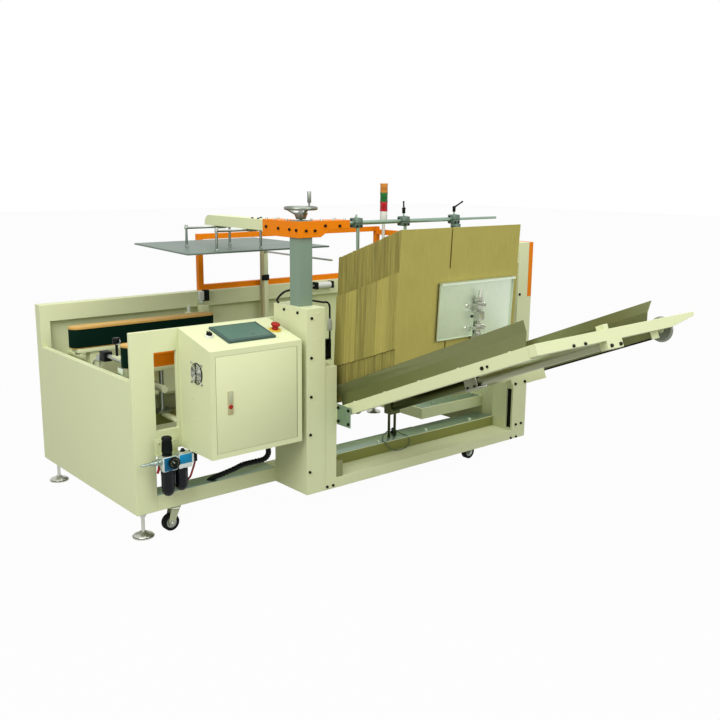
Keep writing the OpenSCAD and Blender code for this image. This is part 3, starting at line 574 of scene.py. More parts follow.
def hose(name, points, diameter, finish, ribs=(1.0,)):
    """Short hose or cable between two places on the machine, along points in millimetres."""
    d = Draft()
    d.tube(points, diameter / 2, finish, 14, ribs)
    ob = d.piece(name, "machine", angle=60)
    line = [MACHINE @ Vector(q) for q in points]
    length = sum((b - a).length for a, b in zip(line, line[1:]))
    tuple(line[0])
    [tuple(q) for q in line]


def seen_directly(tree):
    """One for rays from the camera, from a reflection or through glass, else nought."""
    path = add(tree, "ShaderNodeLightPath")
    two = add(tree, "ShaderNodeMath", {"operation": "MAXIMUM"},
              {0: path.outputs["Is Camera Ray"], 1: path.outputs["Is Glossy Ray"]})
    three = add(tree, "ShaderNodeMath", {"operation": "MAXIMUM"},
                {0: two.outputs[0], 1: path.outputs["Is Transmission Ray"]})
    return three.outputs[0]


# Camera that matches the photograph: place in millimetres, yaw, pitch and roll in degrees, and
# focal length as a share of the picture's width.
CAMERA_AT = (-1612.54, -3376.03, 1583.56)
CAMERA_TURN = (49.7484, 11.9590, 0.5491)
CAMERA_REACH = 894.7725 / 720
SENSOR_MM = 36.0
# Studio lamps: place in millimetres, size in metres and watts; all aim at the machine's middle.
LAMPS = (("Key", (-2900, -1900, 3500), 3.0, 152.0), ("Top", (900, -300, 3900), 3.4, 66.0),
         ("Front", (1900, -3900, 2900), 2.6, 66.0))
LAMP_AIM = (1000, 100, 650)
# Even light from all round, just greener than white, and its strength.
FILL_COLOUR = (0.97, 1.0, 0.95, 1)
FILL_STRENGTH = 0.47
# Half the floor's side and the furthest that the camera sees, in metres.
FLOOR_REACH = 30
CAMERA_FAR = 60
# Share of the floor that is plain white to the camera; the rest takes light and shadow.
FLOOR_GLOW = 0.97


class ERECTOR_OT_stage(bpy.types.Operator):
    """Camera at the photographed angle, pale floor and soft studio light"""
    bl_idname = "erector.stage"
    bl_label = "Stage"

    def execute(self, context):
        scene = context.scene
        scene.view_settings.view_transform = "Standard"
        yaw, pitch, roll = [math.radians(a) for a in CAMERA_TURN]
        ahead = Vector((math.cos(yaw) * math.cos(pitch), math.sin(yaw) * math.cos(pitch),
                        -math.sin(pitch)))
        right = Vector((math.sin(yaw), -math.cos(yaw), 0))
        up = right.cross(ahead)
        tilted_right = right * math.cos(roll) + up * math.sin(roll)
        tilted_up = up * math.cos(roll) - right * math.sin(roll)
        data = bpy.data.cameras.new("Camera")
        data.sensor_width = SENSOR_MM
        data.lens = SENSOR_MM * CAMERA_REACH
        data.clip_end = CAMERA_FAR
        camera = bpy.data.objects.new("Camera", data)
        scene.collection.objects.link(camera)
        turn = Matrix((tilted_right, tilted_up, -ahead)).transposed().to_4x4()
        camera.matrix_world = Matrix.Translation(at(*CAMERA_AT)) @ turn
        scene.camera = camera

        bm = bmesh.new()
        bmesh.ops.create_grid(bm, x_segments=1, y_segments=1, size=FLOOR_REACH)
        me = bpy.data.meshes.new("Floor")
        bm.to_mesh(me)
        bm.free()
        floor = bpy.data.objects.new("Floor", me)
        scene.collection.objects.link(floor)
        # Pale painted studio floor: matt, with the faint shadow that the photograph keeps.
        m = bpy.data.materials.new("Pale_studio_floor")
        m.use_nodes = True
        tree = m.node_tree
        tree.nodes.clear()
        matt = add(tree, "ShaderNodeBsdfDiffuse", {"Color": linear("#A6A6A2")})
        glow = add(tree, "ShaderNodeEmission", {"Color": (1, 1, 1, 1), "Strength": 1.0})
        share = add(tree, "ShaderNodeMath", {"operation": "MULTIPLY", 1: FLOOR_GLOW},
                    {0: seen_directly(tree)})
        mix = add(tree, "ShaderNodeMixShader", None,
                  {0: share.outputs[0], 1: matt.outputs[0], 2: glow.outputs[0]})
        add(tree, "ShaderNodeOutputMaterial", None, {"Surface": mix.outputs[0]})
        me.materials.append(m)

        world = bpy.data.worlds.new("Studio")
        world.use_nodes = True
        scene.world = world
        tree = world.node_tree
        tree.nodes.clear()
        seen = seen_directly(tree)
        white = add(tree, "ShaderNodeBackground", {"Color": (1, 1, 1, 1), "Strength": 1.0})
        fill = add(tree, "ShaderNodeBackground",
                   {"Color": FILL_COLOUR, "Strength": FILL_STRENGTH})
        mix = add(tree, "ShaderNodeMixShader", None,
                  {0: seen, 1: fill.outputs[0], 2: white.outputs[0]})
        add(tree, "ShaderNodeOutputWorld", None, {"Surface": mix.outputs[0]})

        for name, place, size, watts in LAMPS:
            lamp = bpy.data.lights.new(name, "AREA")
            lamp.size = size
            lamp.energy = watts
            ob = bpy.data.objects.new(name, lamp)
            ob.location = at(*place)
            aim = at(*LAMP_AIM) - ob.location
            ob.rotation_euler = aim.to_track_quat("-Z", "Y").to_euler()
            scene.collection.objects.link(ob)
        return {"FINISHED"}


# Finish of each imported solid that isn't cream; forks and wheels of the casters are told by name.
NODE_FINISH = {
    "lift_column": "column", "press_plate": "plate", "hangers": "steel", "handwheel": "wheel",
    "arm": "orange", "guard": "orange", "inner_bar": "orange", "tower_pole": "white",
    # Guides: zinc with painted shade and a painted reflection of the kraft; pusher tube: steel with
    # painted shade.
    "guides": "dull_zinc", "pusher_tube": "olive_steel", "pusher": "zinc", "set_wheel": "ivory",
    "belts": "belt", "belt_cores": "tan", "belt_shafts": "cream", "inner_shaft": "steel",
    "back_strip": "beige", "feet": "bright",
}


class ERECTOR_OT_finishes(bpy.types.Operator):
    """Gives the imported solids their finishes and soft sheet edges"""
    bl_idname = "erector.finishes"
    bl_label = "Finishes"

    def execute(self, context):
        make_finishes(context.scene.erector_colours)
        edge = context.scene.erector_sizes.edge
        for name, ob in NODES.items():
            if name.startswith("fork"):
                key = "ivory"
            elif name.startswith("caster"):
                key = "rubber"
            else:
                key = NODE_FINISH.get(name, "cream")
            ob.data.materials.clear()
            ob.data.materials.append(FINISH[key])
            weld = ob.modifiers.new("Weld", "WELD")
            weld.merge_threshold = 0.00005
            # Folded sheet and painted tube are rounder than machined and moulded parts.
            bevel = ob.modifiers.new("Edges", "BEVEL")
            bevel.width = edge if key in ("cream", "orange", "column") else edge * 0.45
            bevel.segments = 2
            bevel.limit_method = "ANGLE"
            bevel.angle_limit = math.radians(40)
            bevel.harden_normals = True
        return {"FINISHED"}


# Folded blanks in the stack: sides, slot between the flaps and its width, height and depth.
BLANK_LEFT, BLANK_RIGHT = 932, 1708
SLOT_X, SLOT_W = 1247, 8
BLANK_HIGH = 690
STACK_DEEP = 407
# Tone of the boards' edges, group by group from the back of the stack to its front.
EDGE_TONES = ("edge_board", "edge_pale", "flap", "edge_board", "edge_pale", "edge_board")


class ERECTOR_OT_blanks(bpy.types.Operator):
    """Stack of folded carton blanks, two boards each, with their flaps and slots"""
    bl_idname = "erector.blanks"
    bl_label = "Carton blanks"

    def execute(self, context):
        sizes = context.scene.erector_sizes
        rng = random.Random(11)
        flap = sizes.flap * 1000
        pitch = STACK_DEEP / sizes.boards
        thick = pitch / 2 - 0.15
        d = Draft(STACK)
        for i in range(sizes.boards):
            shift = 1.2 + 1.6 * math.sin(i * 0.9) + rng.uniform(-0.5, 0.5)
            left = BLANK_LEFT + shift
            right = BLANK_RIGHT + min(shift, 2) - rng.uniform(0, 3)
            rise = rng.uniform(0, 3)
            tone = EDGE_TONES[i * len(EDGE_TONES) // sizes.boards]
            inset = 7 + 2 * math.sin(i * 1.7) + rng.uniform(-1.2, 1.2)
            for half in (0, 1):
                out = i * pitch - STACK_DEEP + half * pitch / 2
                base = (out + thick) * math.tan(TILT) + rise
                nip = rng.uniform(0.2, 1.0)
                slot = SLOT_X + rng.uniform(-3, 3)
                zones = [(left + nip, right, flap, BLANK_HIGH - flap, tone)]
                for lo, hi in ((0, flap), (BLANK_HIGH - flap, BLANK_HIGH)):
                    zones.append((left + inset, slot - SLOT_W / 2, lo, hi, "flap"))
                    zones.append((slot + SLOT_W / 2, right - inset, lo, hi, "flap"))
                for x0, x1, lo, hi, cut in zones:
                    low, high = (x0, out, base + lo), (x1, out + thick, base + hi)
                    for f in d.block(low, high, "kraft", 0):
                        f.normal_update()
                        if abs(f.normal.x) > 0.7 or f.normal.z > 0.7:
                            f.material_index = d.index(cut)
        d.piece("Carton_blanks", "machine", ["blanks"])
        return {"FINISHED"}


class ERECTOR_OT_console(bpy.types.Operator):
    """Operator panel, stop button, selector, door lock and fan guard of the control box"""
    bl_idname = "erector.console"
    bl_label = "Control box fittings"

    def execute(self, context):
        # Frame in two steps, then the rim and the screen in it.
        d = Draft(CONSOLE)
        d.block((352, 44, 0.2), (588, 210, 8), "bezel", 2.5)
        d.block((355, 47, 7.4), (585, 207, 10.2), "bezel", 1.2)
        d.block((362, 54, 9), (578, 194, 10.5), "bezel", 0.4)
        d.block((364, 56, 9), (576, 192, 10.8), "screen", 0.3)
        d.piece("Operator_panel", "machine", ["hmi"])

        d = Draft(CONSOLE)
        stop, selector = (635, 136, 0.2), (306, 122, 0.2)
        d.turned(stop, UP, [(0, 0), (28, 0), (28, 2.6), (26, 4), (17, 4)], "yellow", 40)
        d.turned(stop, UP, [(15, 3), (15, 10), (13.5, 12), (13.5, 24)], "red", 32)
        d.turned(stop, UP, [(12, 21), (19.5, 22), (21, 24.5), (21, 28), (19.5, 31.5), (14, 34),
                            (0, 35)], "red", 40)
        d.turned(selector, UP, [(0, 0), (18, 0), (18, 6), (16, 9), (12, 10)], "white", 36)
        d.turned(selector, UP, [(13, 8), (13, 13), (11.5, 15), (0, 15)], "black", 32)
        d.block((301, 109, 13), (311, 135, 21), "black", 2.0)
        d.block((305, 108.6, 19), (307, 118, 21.4), "white", 0.3)
        d.piece("Stop_button_and_selector", "machine", ["controls"])

        # Sheet of the door, lock plate with two covers, and the lock.
        d = Draft()
        d.block((251, -259.4, 415), (662, -257.8, 828), "cream", 0.7)
        d.block((304, -262, 576), (331, -258.8, 677), "beige", 1.4)
        d.block((308, -264, 626), (327, -261, 673), "ivory", 1.0)
        d.block((308, -263, 580), (327, -261, 622), "beige", 0.8)
        lock = (317.5, -262, 610)
        d.turned(lock, FRONT, [(10, 0), (10, 2.4), (9, 3.2), (5, 3.2)], "red", 32)
        d.turned(lock, FRONT, [(6, 1), (6, 4), (5, 5), (0, 5)], "red", 24)
        d.piece("Door_skin_and_lock", "door")

        # Fan behind wire rings on four stays with screwed eyes, and two screw heads below it.
        d = Draft()
        fan = Vector((225.8, -149, 745))
        d.turned(fan, LEFT, [(46, 0), (46, 2.2), (43, 3), (43, 1.2), (0, 1.2)], "black", 48)
        for radius in (10, 18, 26, 34, 42):
            d.ring(fan + LEFT * 5.2, LEFT, radius, 1.25, "bright", 48, 8)
        for out, _ in spokes(range(45, 360, 90), BACK, UP):
            stay = fan + LEFT * 4.2
            d.rod(stay + out * 8, stay + out * 56, 1.5, "bright", 10, chamfer=0.2)
            foot = fan + out * 58
            d.ring(foot + LEFT * 3.4, LEFT, 4.6, 1.25, "bright", 20, 8)
            d.turned(foot, LEFT, [(5, 0), (5, 3), (4, 4.4), (0, 5)], "wheel", 20)
        d.turned(fan + LEFT * 0.2, LEFT, [(17, 0.5), (17, 2.4), (14, 3), (0, 3)], "black", 32)
        for out, side in spokes([360 * k / 7 for k in range(7)], BACK, UP):
            root = fan + LEFT * 2.4 + out * 16
            tip = root + out * 25
            d.slab([root - side * 4, tip - side * 9, tip + side * 8, root + side * 3],
                   (-0.8, 0, 0), "zinc")
        for low in (634, 536):
            d.turned((226.2, -115, low), LEFT, [(0, 0), (4, 0), (4, 1.6), (3, 2.4), (0, 2.4)],
                     "zinc", 20)
        d.piece("Fan_guard", "machine", ["fan_grille"])
        return {"FINISHED"}


class ERECTOR_OT_air_unit(bpy.types.Operator):
    """Filter and regulator pair with gauge, bowls, knob, coupling and tubes"""
    bl_idname = "erector.air_unit"
    bl_label = "Air unit"

    def execute(self, context):
        # Bodies, blue covers and the bracket, all from a line 12 mm left of the walls' corner.
        d = Draft(directions(at(-12, 0, 0), ALONG, BACK, UP))
        y = -63
        d.block((98, -90, 322), (166, -36, 388), "diecast", 5)
        d.block((172, -90, 322), (238, -36, 388), "diecast", 5)
        d.block((160, -84, 330), (178, -42, 382), "diecast", 3)
        d.block((236, -80, 334), (252, -46, 380), "diecast", 3)
        d.block((180, -80, 386), (230, -46, 392), "diecast", 2)
        d.turned((206, y, 391), UP, [(11, 0), (11, 4), (8, 6), (8, 12), (0, 13)], "black", 24)
        d.block((103, -91, 326), (161, -89, 384), "navy", 0.6)
        d.block((176, -91.5, 344), (235, -89, 385), "blue", 0.8)
        d.block((108, -40, 372), (216, -0.2, 376), "cream", 0.6)
        d.block((108, -4.2, 372), (216, -0.2, 446), "cream", 0.6)
        for x in (124, 200):
            d.socket_screw((x, -4.2, 428), FRONT, 10, "cream")
        # Regulator: collar nut and tapered, fluted knob.
        knob = Vector((132, y, 386))
        d.turned(knob, UP, [(15, 0), (22, 1), (22, 9), (17, 11), (15, 16)], "black", 36)
        d.turned(knob, UP, [(14, 15), (23, 16.5), (23, 24), (21, 30), (19.5, 66), (22.6, 72),
                            (22.6, 79), (20, 83.5), (0, 84)], "black", 40)
        for out, _ in spokes(range(0, 360, 18), ALONG, BACK):
            d.rod(knob + UP * 18 + out * 22.4, knob + UP * 64 + out * 20.2, 1.5, "black", 8, chamfer=0.3)
        # Bowls with collars, domed ends and drains.
        for x, low, r in ((132, 236, 30), (196, 246, 29)):
            d.turned((x, y, low), UP, [(0, -r), (4, -r), (4, -r + 5), (7, -r + 6), (14, -r * 0.9),
                                       (20, -r * 0.74), (25, -r * 0.48), (28, -r * 0.2),
                                       (r - 1, 4), (r - 1, 300 - low), (r, 302 - low),
                                       (r, 318 - low), (r - 2, 324 - low)], "bowl", 40)
            for out, _ in spokes(range(0, 360, 45), ALONG, BACK):
                foot = Vector((x, y, low + 6)) + out * (r - 1.4)
                d.rod(foot, foot + UP * (294 - low), 2.0, "bowl", 8, chamfer=0.4)
        # Gauge with a black dial, pale marks and needle.
        gauge = Vector((143, -88, 362))
        d.turned(gauge, FRONT, [(9, 0), (9, 6), (22, 7), (25, 10), (25, 21), (24, 23.6), (22, 24),
                                (21.6, 21)], "black", 48)
        d.turned(gauge, FRONT, [(22, 19), (22, 21.4), (0, 21.4)], "black", 48)
        for out, rim in spokes(range(-45, 226, 27), ALONG, UP):
            inner, side = gauge + FRONT * 21.6 + out * 16, rim * 0.55
            outer = inner + out * 3.5
            d.slab([inner - side, outer - side, outer + side, inner + side], FRONT * 0.3, "cream")
        d.slab([(141, -109.8, 361), (130, -109.8, 372), (144, -109.8, 364)], FRONT * 0.5, "white")
        # Inlet: nickelled quick coupling at the left.
        d.turned((98, y, 364), LEFT, [(13, -1), (13, 12), (11, 13), (11, 20), (12.5, 21),
                                      (12.5, 33), (9, 35), (9, 40), (7, 42)], "brass", 32)
        d.hex_nut((88, y, 364), LEFT, 22, 9, "brass")
        d.turned((58, y, 364), LEFT, [(7, 0), (7.4, 4), (5.2, 8), (7, 12), (5.2, 16), (6.6, 22),
                                      (5, 44), (4.4, 50), (0, 50)], "brass", 24)
        # Push-in fitting with its red release ring under the inlet.
        d.turned((100, -50, 340), (-0.3, 0, -1), [(7, -8), (7, 6), (5.5, 7), (5.5, 30), (4, 31),
                                                  (0, 31)], "red", 24)
        # Outlet elbow at the right.
        d.turned((252, y, 356), ALONG, [(16, -1), (16, 8), (12, 10), (12, 16), (0, 18)], "black", 32)
        d.rod((264, y, 378), (264, y, 336), 11, "black", 24)
        d.ring((264, y, 337), UP, 8.4, 1.6, "red", 24, 8)
        d.piece("Filter_and_regulator", "machine", ["air_unit"])

        line = flowing([(252, -63, 338), (249, -63, 322), (240, -63, 298), (228, -61, 268),
                        (219, -48, 254), (214, -36, 272), (222, -32, 320), (242, -30, 372),
                        (254, -30, 389.5)], 6)
        hose("Red_air_tube", line, 9, "red_tube")
        line = flowing([(578, -150, 390), (578, -150, 356), (580, -149, 324), (566, -135, 298),
                        (526, -105, 284), (491, -75, 271), (460, -45, 248), (425, -5, 222),
                        (392, 28, 200), (372, 48, 176)], 14)
        ribs = [1.0, 1.0, 0.86, 0.86]
        hose("Ribbed_cable_hose", line, 26, "black", ribs)
        return {"FINISHED"}


# Directions of the two clamp levers on the stop rod.
LEVERS = ((0.54, 0.62, 0.57), (0.797, -0.29, 0.53))


class ERECTOR_OT_head(bpy.types.Operator):
    """Stop rod with clamps, levers and drop rods, and the screws of the arm"""
    bl_idname = "erector.head"
    bl_label = "Head fittings"

    def execute(self, context):
        screw = context.scene.erector_sizes.screw * 1000
        d = Draft()
        y, z = -150, 1345
        d.rod((1018, y, z), (1765, y, z), 10, "sill", 28, chamfer=1)
        d.rod((1764, y, z), (2058, y, z), 6.5, "sill", 24, chamfer=1.5)
        for i, x in enumerate((1088, 1388, 1738)):
            d.block((x - 23, y - 23, z - 23), (x + 23, y + 23, z + 23), "plate", 5)
            d.block((x - 23.2, y - 23.2, z - 1), (x + 23.2, y - 8, z + 1), "black", 0)
            d.rod((x, y - 12, z - 290), (x, y - 12, z + 26), 8, "sill", 24, chamfer=1)
            for dz in (-13, 13):
                d.socket_screw((x - 23, y + 10, z + dz), LEFT, 9, "black")
                d.socket_screw((x + dz, y - 23, z - 14), FRONT, 9, "black")
            d.rod((x, y, z + 22), (x, y, z + 39), 4, "sill", 16)
            if i == 2:
                d.block((x - 19, y - 34, z - 58), (x + 19, y + 6, z - 22), "plate", 4)
                d.socket_screw((x - 19, y - 14, z - 40), LEFT, 10, "black")
            if i == 0:
                d.hex_nut((x, y, z + 22.6), UP, 14, 8, "sill")
                continue
            d.turned((x, y, z + 37), UP, [(7, 0), (8, 2), (8, 18), (9.4, 23), (8, 27), (4, 29),
                                          (0, 29.4)], "black", 24)
            d.turned((x, y, z + 59), LEVERS[i - 1], [(6, 0), (4.2, 12), (3.8, 44), (4.8, 53),
                                                     (4.2, 57), (0, 58)], "black", 20)
        d.piece("Stop_rod_and_clamps", "head", ["stop_rods"])

        # Screws on the arm's left, front and upper faces, nuts of the hangers, screws further back.
        d = Draft()
        for py, pz in ((58, 1329), (-38, 1326), (-124, 1325), (-175, 1324)):
            d.socket_screw((725.6, py, pz), LEFT, screw)
        for px, pz in ((766, 1321), (815, 1320), (873, 1340), (956, 1337)):
            d.socket_screw((px, -190.4, pz), FRONT, screw)
        for px, py in ((742, 78), (742, 12), (742, -78), (862, -176), (930, -176), (996, -176),
                       (862, -104), (996, -104), (806, 78)):
            d.turned((px, py, 1362), UP, [(5.5, -0.4), (5.5, 6), (4.4, 7.4), (0, 7.6)], "steel", 18)
        for px, py in product((577, 823), (250, 530)):
            d.hex_nut((px, py, 1210), UP, 16, 9)
            d.hex_nut((px, py, 1311.5), UP, 13, 6)
        for px, py in product((750, 798), (160, 210)):
            d.socket_screw((px, py, 1358), UP, 12)
        d.piece("Arm_screws", "head")

        d = Draft()
        d.hex_nut((774, -142, 1398.4), UP, 19, 9)
        d.piece("Handwheel_nut", "crank")
        return {"FINISHED"}


class ERECTOR_OT_pusher(bpy.types.Operator):
    """Blank pusher: hemmed zinc plate, threaded rod with nuts and a split collar"""
    bl_idname = "erector.pusher"
    bl_label = "Blank pusher"

    def execute(self, context):
        d = Draft(STACK)
        mid = TUBE_X
        left, right = mid - 245, mid + 245
        # Plate, its bent upper edge with a hem, its sides and its lower edge.
        for lo, hi in (((left, 6, 192), (right, 9, 453)), ((left, 6.4, 450), (right, 26, 453)),
                       ((left, 24, 443), (right, 26.4, 453)),
                       ((left, 6.4, 192), (left + 3, 17, 450)),
                       ((right - 3, 6.4, 192), (right, 17, 450)),
                       ((left, 6.4, 192), (right, 15, 195))):
            d.block(lo, hi, "zinc", 0.8)
        # Flat bar from the collar, bent brackets and the threaded setting rod.
        d.block((mid - 20, 10, -6), (mid + 20, 18, 300), "zinc", 1)
        for low, high, wide, out in ((226, 238, 30, 52), (330, 342, 26, 48), (268, 306, 17, 50)):
            d.block((mid - wide, 8, low), (mid + wide, out, high), "bright", 2)
        path = [(mid, 32, 168 + k * 1.6) for k in range(150)]
        d.tube(path, 9.5, "bright", 18, [1.0, 0.86])
        for low in (206, 240, 318, 344, 362):
            d.hex_nut((mid, 32, low), UP, 26, 13, "bright")
        for x, h in product((mid - 60, mid + 60), (232, 336)):
            d.turned((x, 9, h), BACK, [(8, -0.4), (8, 2.4), (5, 4.6), (0, 5)], "bright", 20)
        for x in (mid - 22, mid + 22):
            d.turned((x, 8, 284), BACK, [(6, 0), (6, 6), (4, 8), (0, 8)], "oxide", 18)
        # Split collar round the tube, of four bars with black screws.
        d.frame = SLOPE
        u, w = 387, -TUBE_DROP
        for x0, x1, w0, w1 in ((-34, 34, 26.5, 34), (-34, 34, -34, -26.5), (-34, -26.5, -27, 27),
                               (26.5, 34, -27, 27)):
            d.block((mid + x0, u - 36, w + w0), (mid + x1, u + 36, w + w1), "bright", 2)
        for du in (-22, 22):
            for dw in (-20, 20):
                d.socket_screw((mid - 34, u + du, w + dw), LEFT, 11)
            for dx in (-29.6, 29.6):
                d.turned((mid + dx, u + 36, w + du), BACK, [(3, -0.4), (3, 1.6), (2, 2.4),
                                                            (0, 2.4)], "oxide", 14)
        d.piece("Blank_pusher", "push_carriage", ["pusher"])
        return {"FINISHED"}


# Middle of the setting handwheel on the slope.
SET_WHEEL = (1872, 1114, -25)


class ERECTOR_OT_magazine(bpy.types.Operator):
    """Bolts, plates and end caps of the magazine rails and crossbar"""
    bl_idname = "erector.magazine"
    bl_label = "Magazine fittings"

    def execute(self, context):
        d = Draft(SLOPE)
        for x, u, w, axis, head in ((905, 936, -28, LEFT, 15), (905, 964, -28, LEFT, 11),
                                    (1115, 1216, -34, BACK, 13), (1187, 1216, -34, BACK, 13),
                                    (1345, 1216, -60, BACK, 15), (1405, 1216, -60, BACK, 15),
                                    (1684, 395, -90, LEFT, 13), (1684, 455, -90, LEFT, 13)):
            d.socket_screw((x, u, w), axis, head)
        # Lower end of the left guide, down to the portal, in the guides' olive zinc with painted shade.
        d.slab([(928, 6, 0), (928, 6, 52), (906, 6, 96), (903, 6, 94), (925, 6, 51), (925, 6, 0)],
               BACK * 49, "dull_zinc")
        # Rubber lip under the right rail, and painted shade on that rail's left face: an olive skin of
        # dull zinc.
        d.block((1685.5, 584, -65), (1689.5, 1172, -60), "rubber", 0.8)
        d.block((1687, 584, -60), (1689.3, 1172, -3), "dull_zinc", 0.6)
        # Bare outer part of the pusher tube; the tube below it keeps its dark olive painted shade.
        d.turned((TUBE_X, 430, -TUBE_DROP), BACK, [(25.1, 0), (25.5, 1), (25.5, 738), (25.1, 739)],
                 "tube", 40)
        # Screws of the guides on the rails, and the cap of the setting wheel's shaft.
        for x, us in ((917, (110, 330, 560, 800, 1080)), (1723, (330, 560, 800, 1080))):
            for u in us:
                d.turned((x, u, 0), UP, [(7, -0.4), (7, 2), (4.6, 4), (0, 4.4)], "zinc", 20)
        d.turned(SET_WHEEL, ALONG, [(6.5, 9), (9, 9.6), (9, 13), (0, 14)], "zinc", 20)
        # Zinc plate that hangs the left rail on its post, and the screws of the tube's block.
        d.frame = MACHINE
        d.block((893.5, -352, 431), (896.4, -255, 528), "sill", 0.8)
        for y, z in product((-338, -264), (447, 512)):
            d.hex_nut((893.5, y, z), LEFT, 11, 6, "oxide")
        for place, axis in (((1402, -80, 386), FRONT), ((1439, -80, 386), FRONT),
                            ((1400, -55, 420), UP), ((1441, -55, 420), UP)):
            d.socket_screw(place, axis, 14)
        d.piece("Magazine_fittings", "machine")

        d = Draft(SLOPE)
        d.turned(SET_WHEEL, ALONG, [(47, 8.2), (49.5, 8.1), (54, 5.9), (56.6, 2), (56.6, -2),
                                    (54, -5.9), (49.5, -8.1), (47, -8.2)], "wheel", 56)
        d.piece("Set_wheel_grip", "set_knob")
        return {"FINISHED"}


class ERECTOR_OT_body(bpy.types.Operator):
    """Bolts and cover strips of the column, posts and base"""
    bl_idname = "erector.body"
    bl_label = "Body fittings"

    def execute(self, context):
        screw = context.scene.erector_sizes.screw * 1000
        # Screws of the column, of both posts and of their lower ends.
        d = Draft()
        for x, z in ((749, 941), (747, 762), (745, 583), (741, 406), (737, 229)):
            d.socket_screw((x, PORTAL_Y, z), FRONT, screw)
        for y, z in ((-84, 964), (-187, 961)):
            d.socket_screw((722, y, z), LEFT, screw)
        for x, z in ((787, 960), (782, 844), (780, 727)):
            d.turned((x, PORTAL_Y, z), FRONT, [(5, -0.3), (5, 0.6), (4, 1), (0, 1)], "cream", 18)
        for x, z, head in ((2160, 934, 14), (2178, 200, 14), (2222, 200, 14), (838, 136, 13),
                           (873, 136, 13), (2141, 128, 13), (2185, 128, 13)):
            d.socket_screw((x, PORTAL_Y, z), FRONT, head)
        for z in (262, 215):
            d.socket_screw((896, -240, z), ALONG, 14)
        d.piece("Body_bolts", "machine")

        # Zinc on the sills, and below them an olive strip of painted shade where the magazine shades the
        # front beam and a dull strip; a black strip of painted shade in the right post's slot.
        d = Draft()
        for lo, hi, finish in (((102, 1.5, 189.5), (720, 98, 191.6), "sill"),
                               ((828, 1.5, 189.5), (1708, 98, 191.6), "sill"),
                               ((898, -108, 224.5), (2144, -1, 226.6), "sill"),
                               ((898, -111.6, 170), (2144, -109.8, 222), "shade"),
                               ((897, -250, 169.6), (933, -247.2, 250), "dull_zinc"),
                               ((2158, -239, 182), (2163, -205, 420), "black")):
            d.block(lo, hi, finish, 0.6)
        for x in (960, 1300, 1640, 1980):
            d.hex_nut((x, -84, 226.4), UP, 15, 8, "zinc")
        # Sensor on the front sill.
        d.block((1453, -30, 226.4), (1479, -8, 240), "black", 1.5)
        d.block((1457, -26, 239), (1475, -12, 256), "black", 1.5)
        d.piece("Base_cover_strips", "machine")

        line = flowing([(1459, -20, 250), (1430, -26, 252), (1375, -48, 244), (1328, -84, 231.5),
                        (1319, -104, 230), (1323, -119, 222), (1343, -126, 196),
                        (1383, -130, 175.5), (1443, -128, 174), (1483, -122, 186),
                        (1491, -114, 212), (1486, -100, 230.5), (1478, -84, 231.5),
                        (1474, -50, 237), (1473, -20, 248)], 4)
        hose("Sensor_wire", line, 4.5, "bezel")
        return {"FINISHED"}


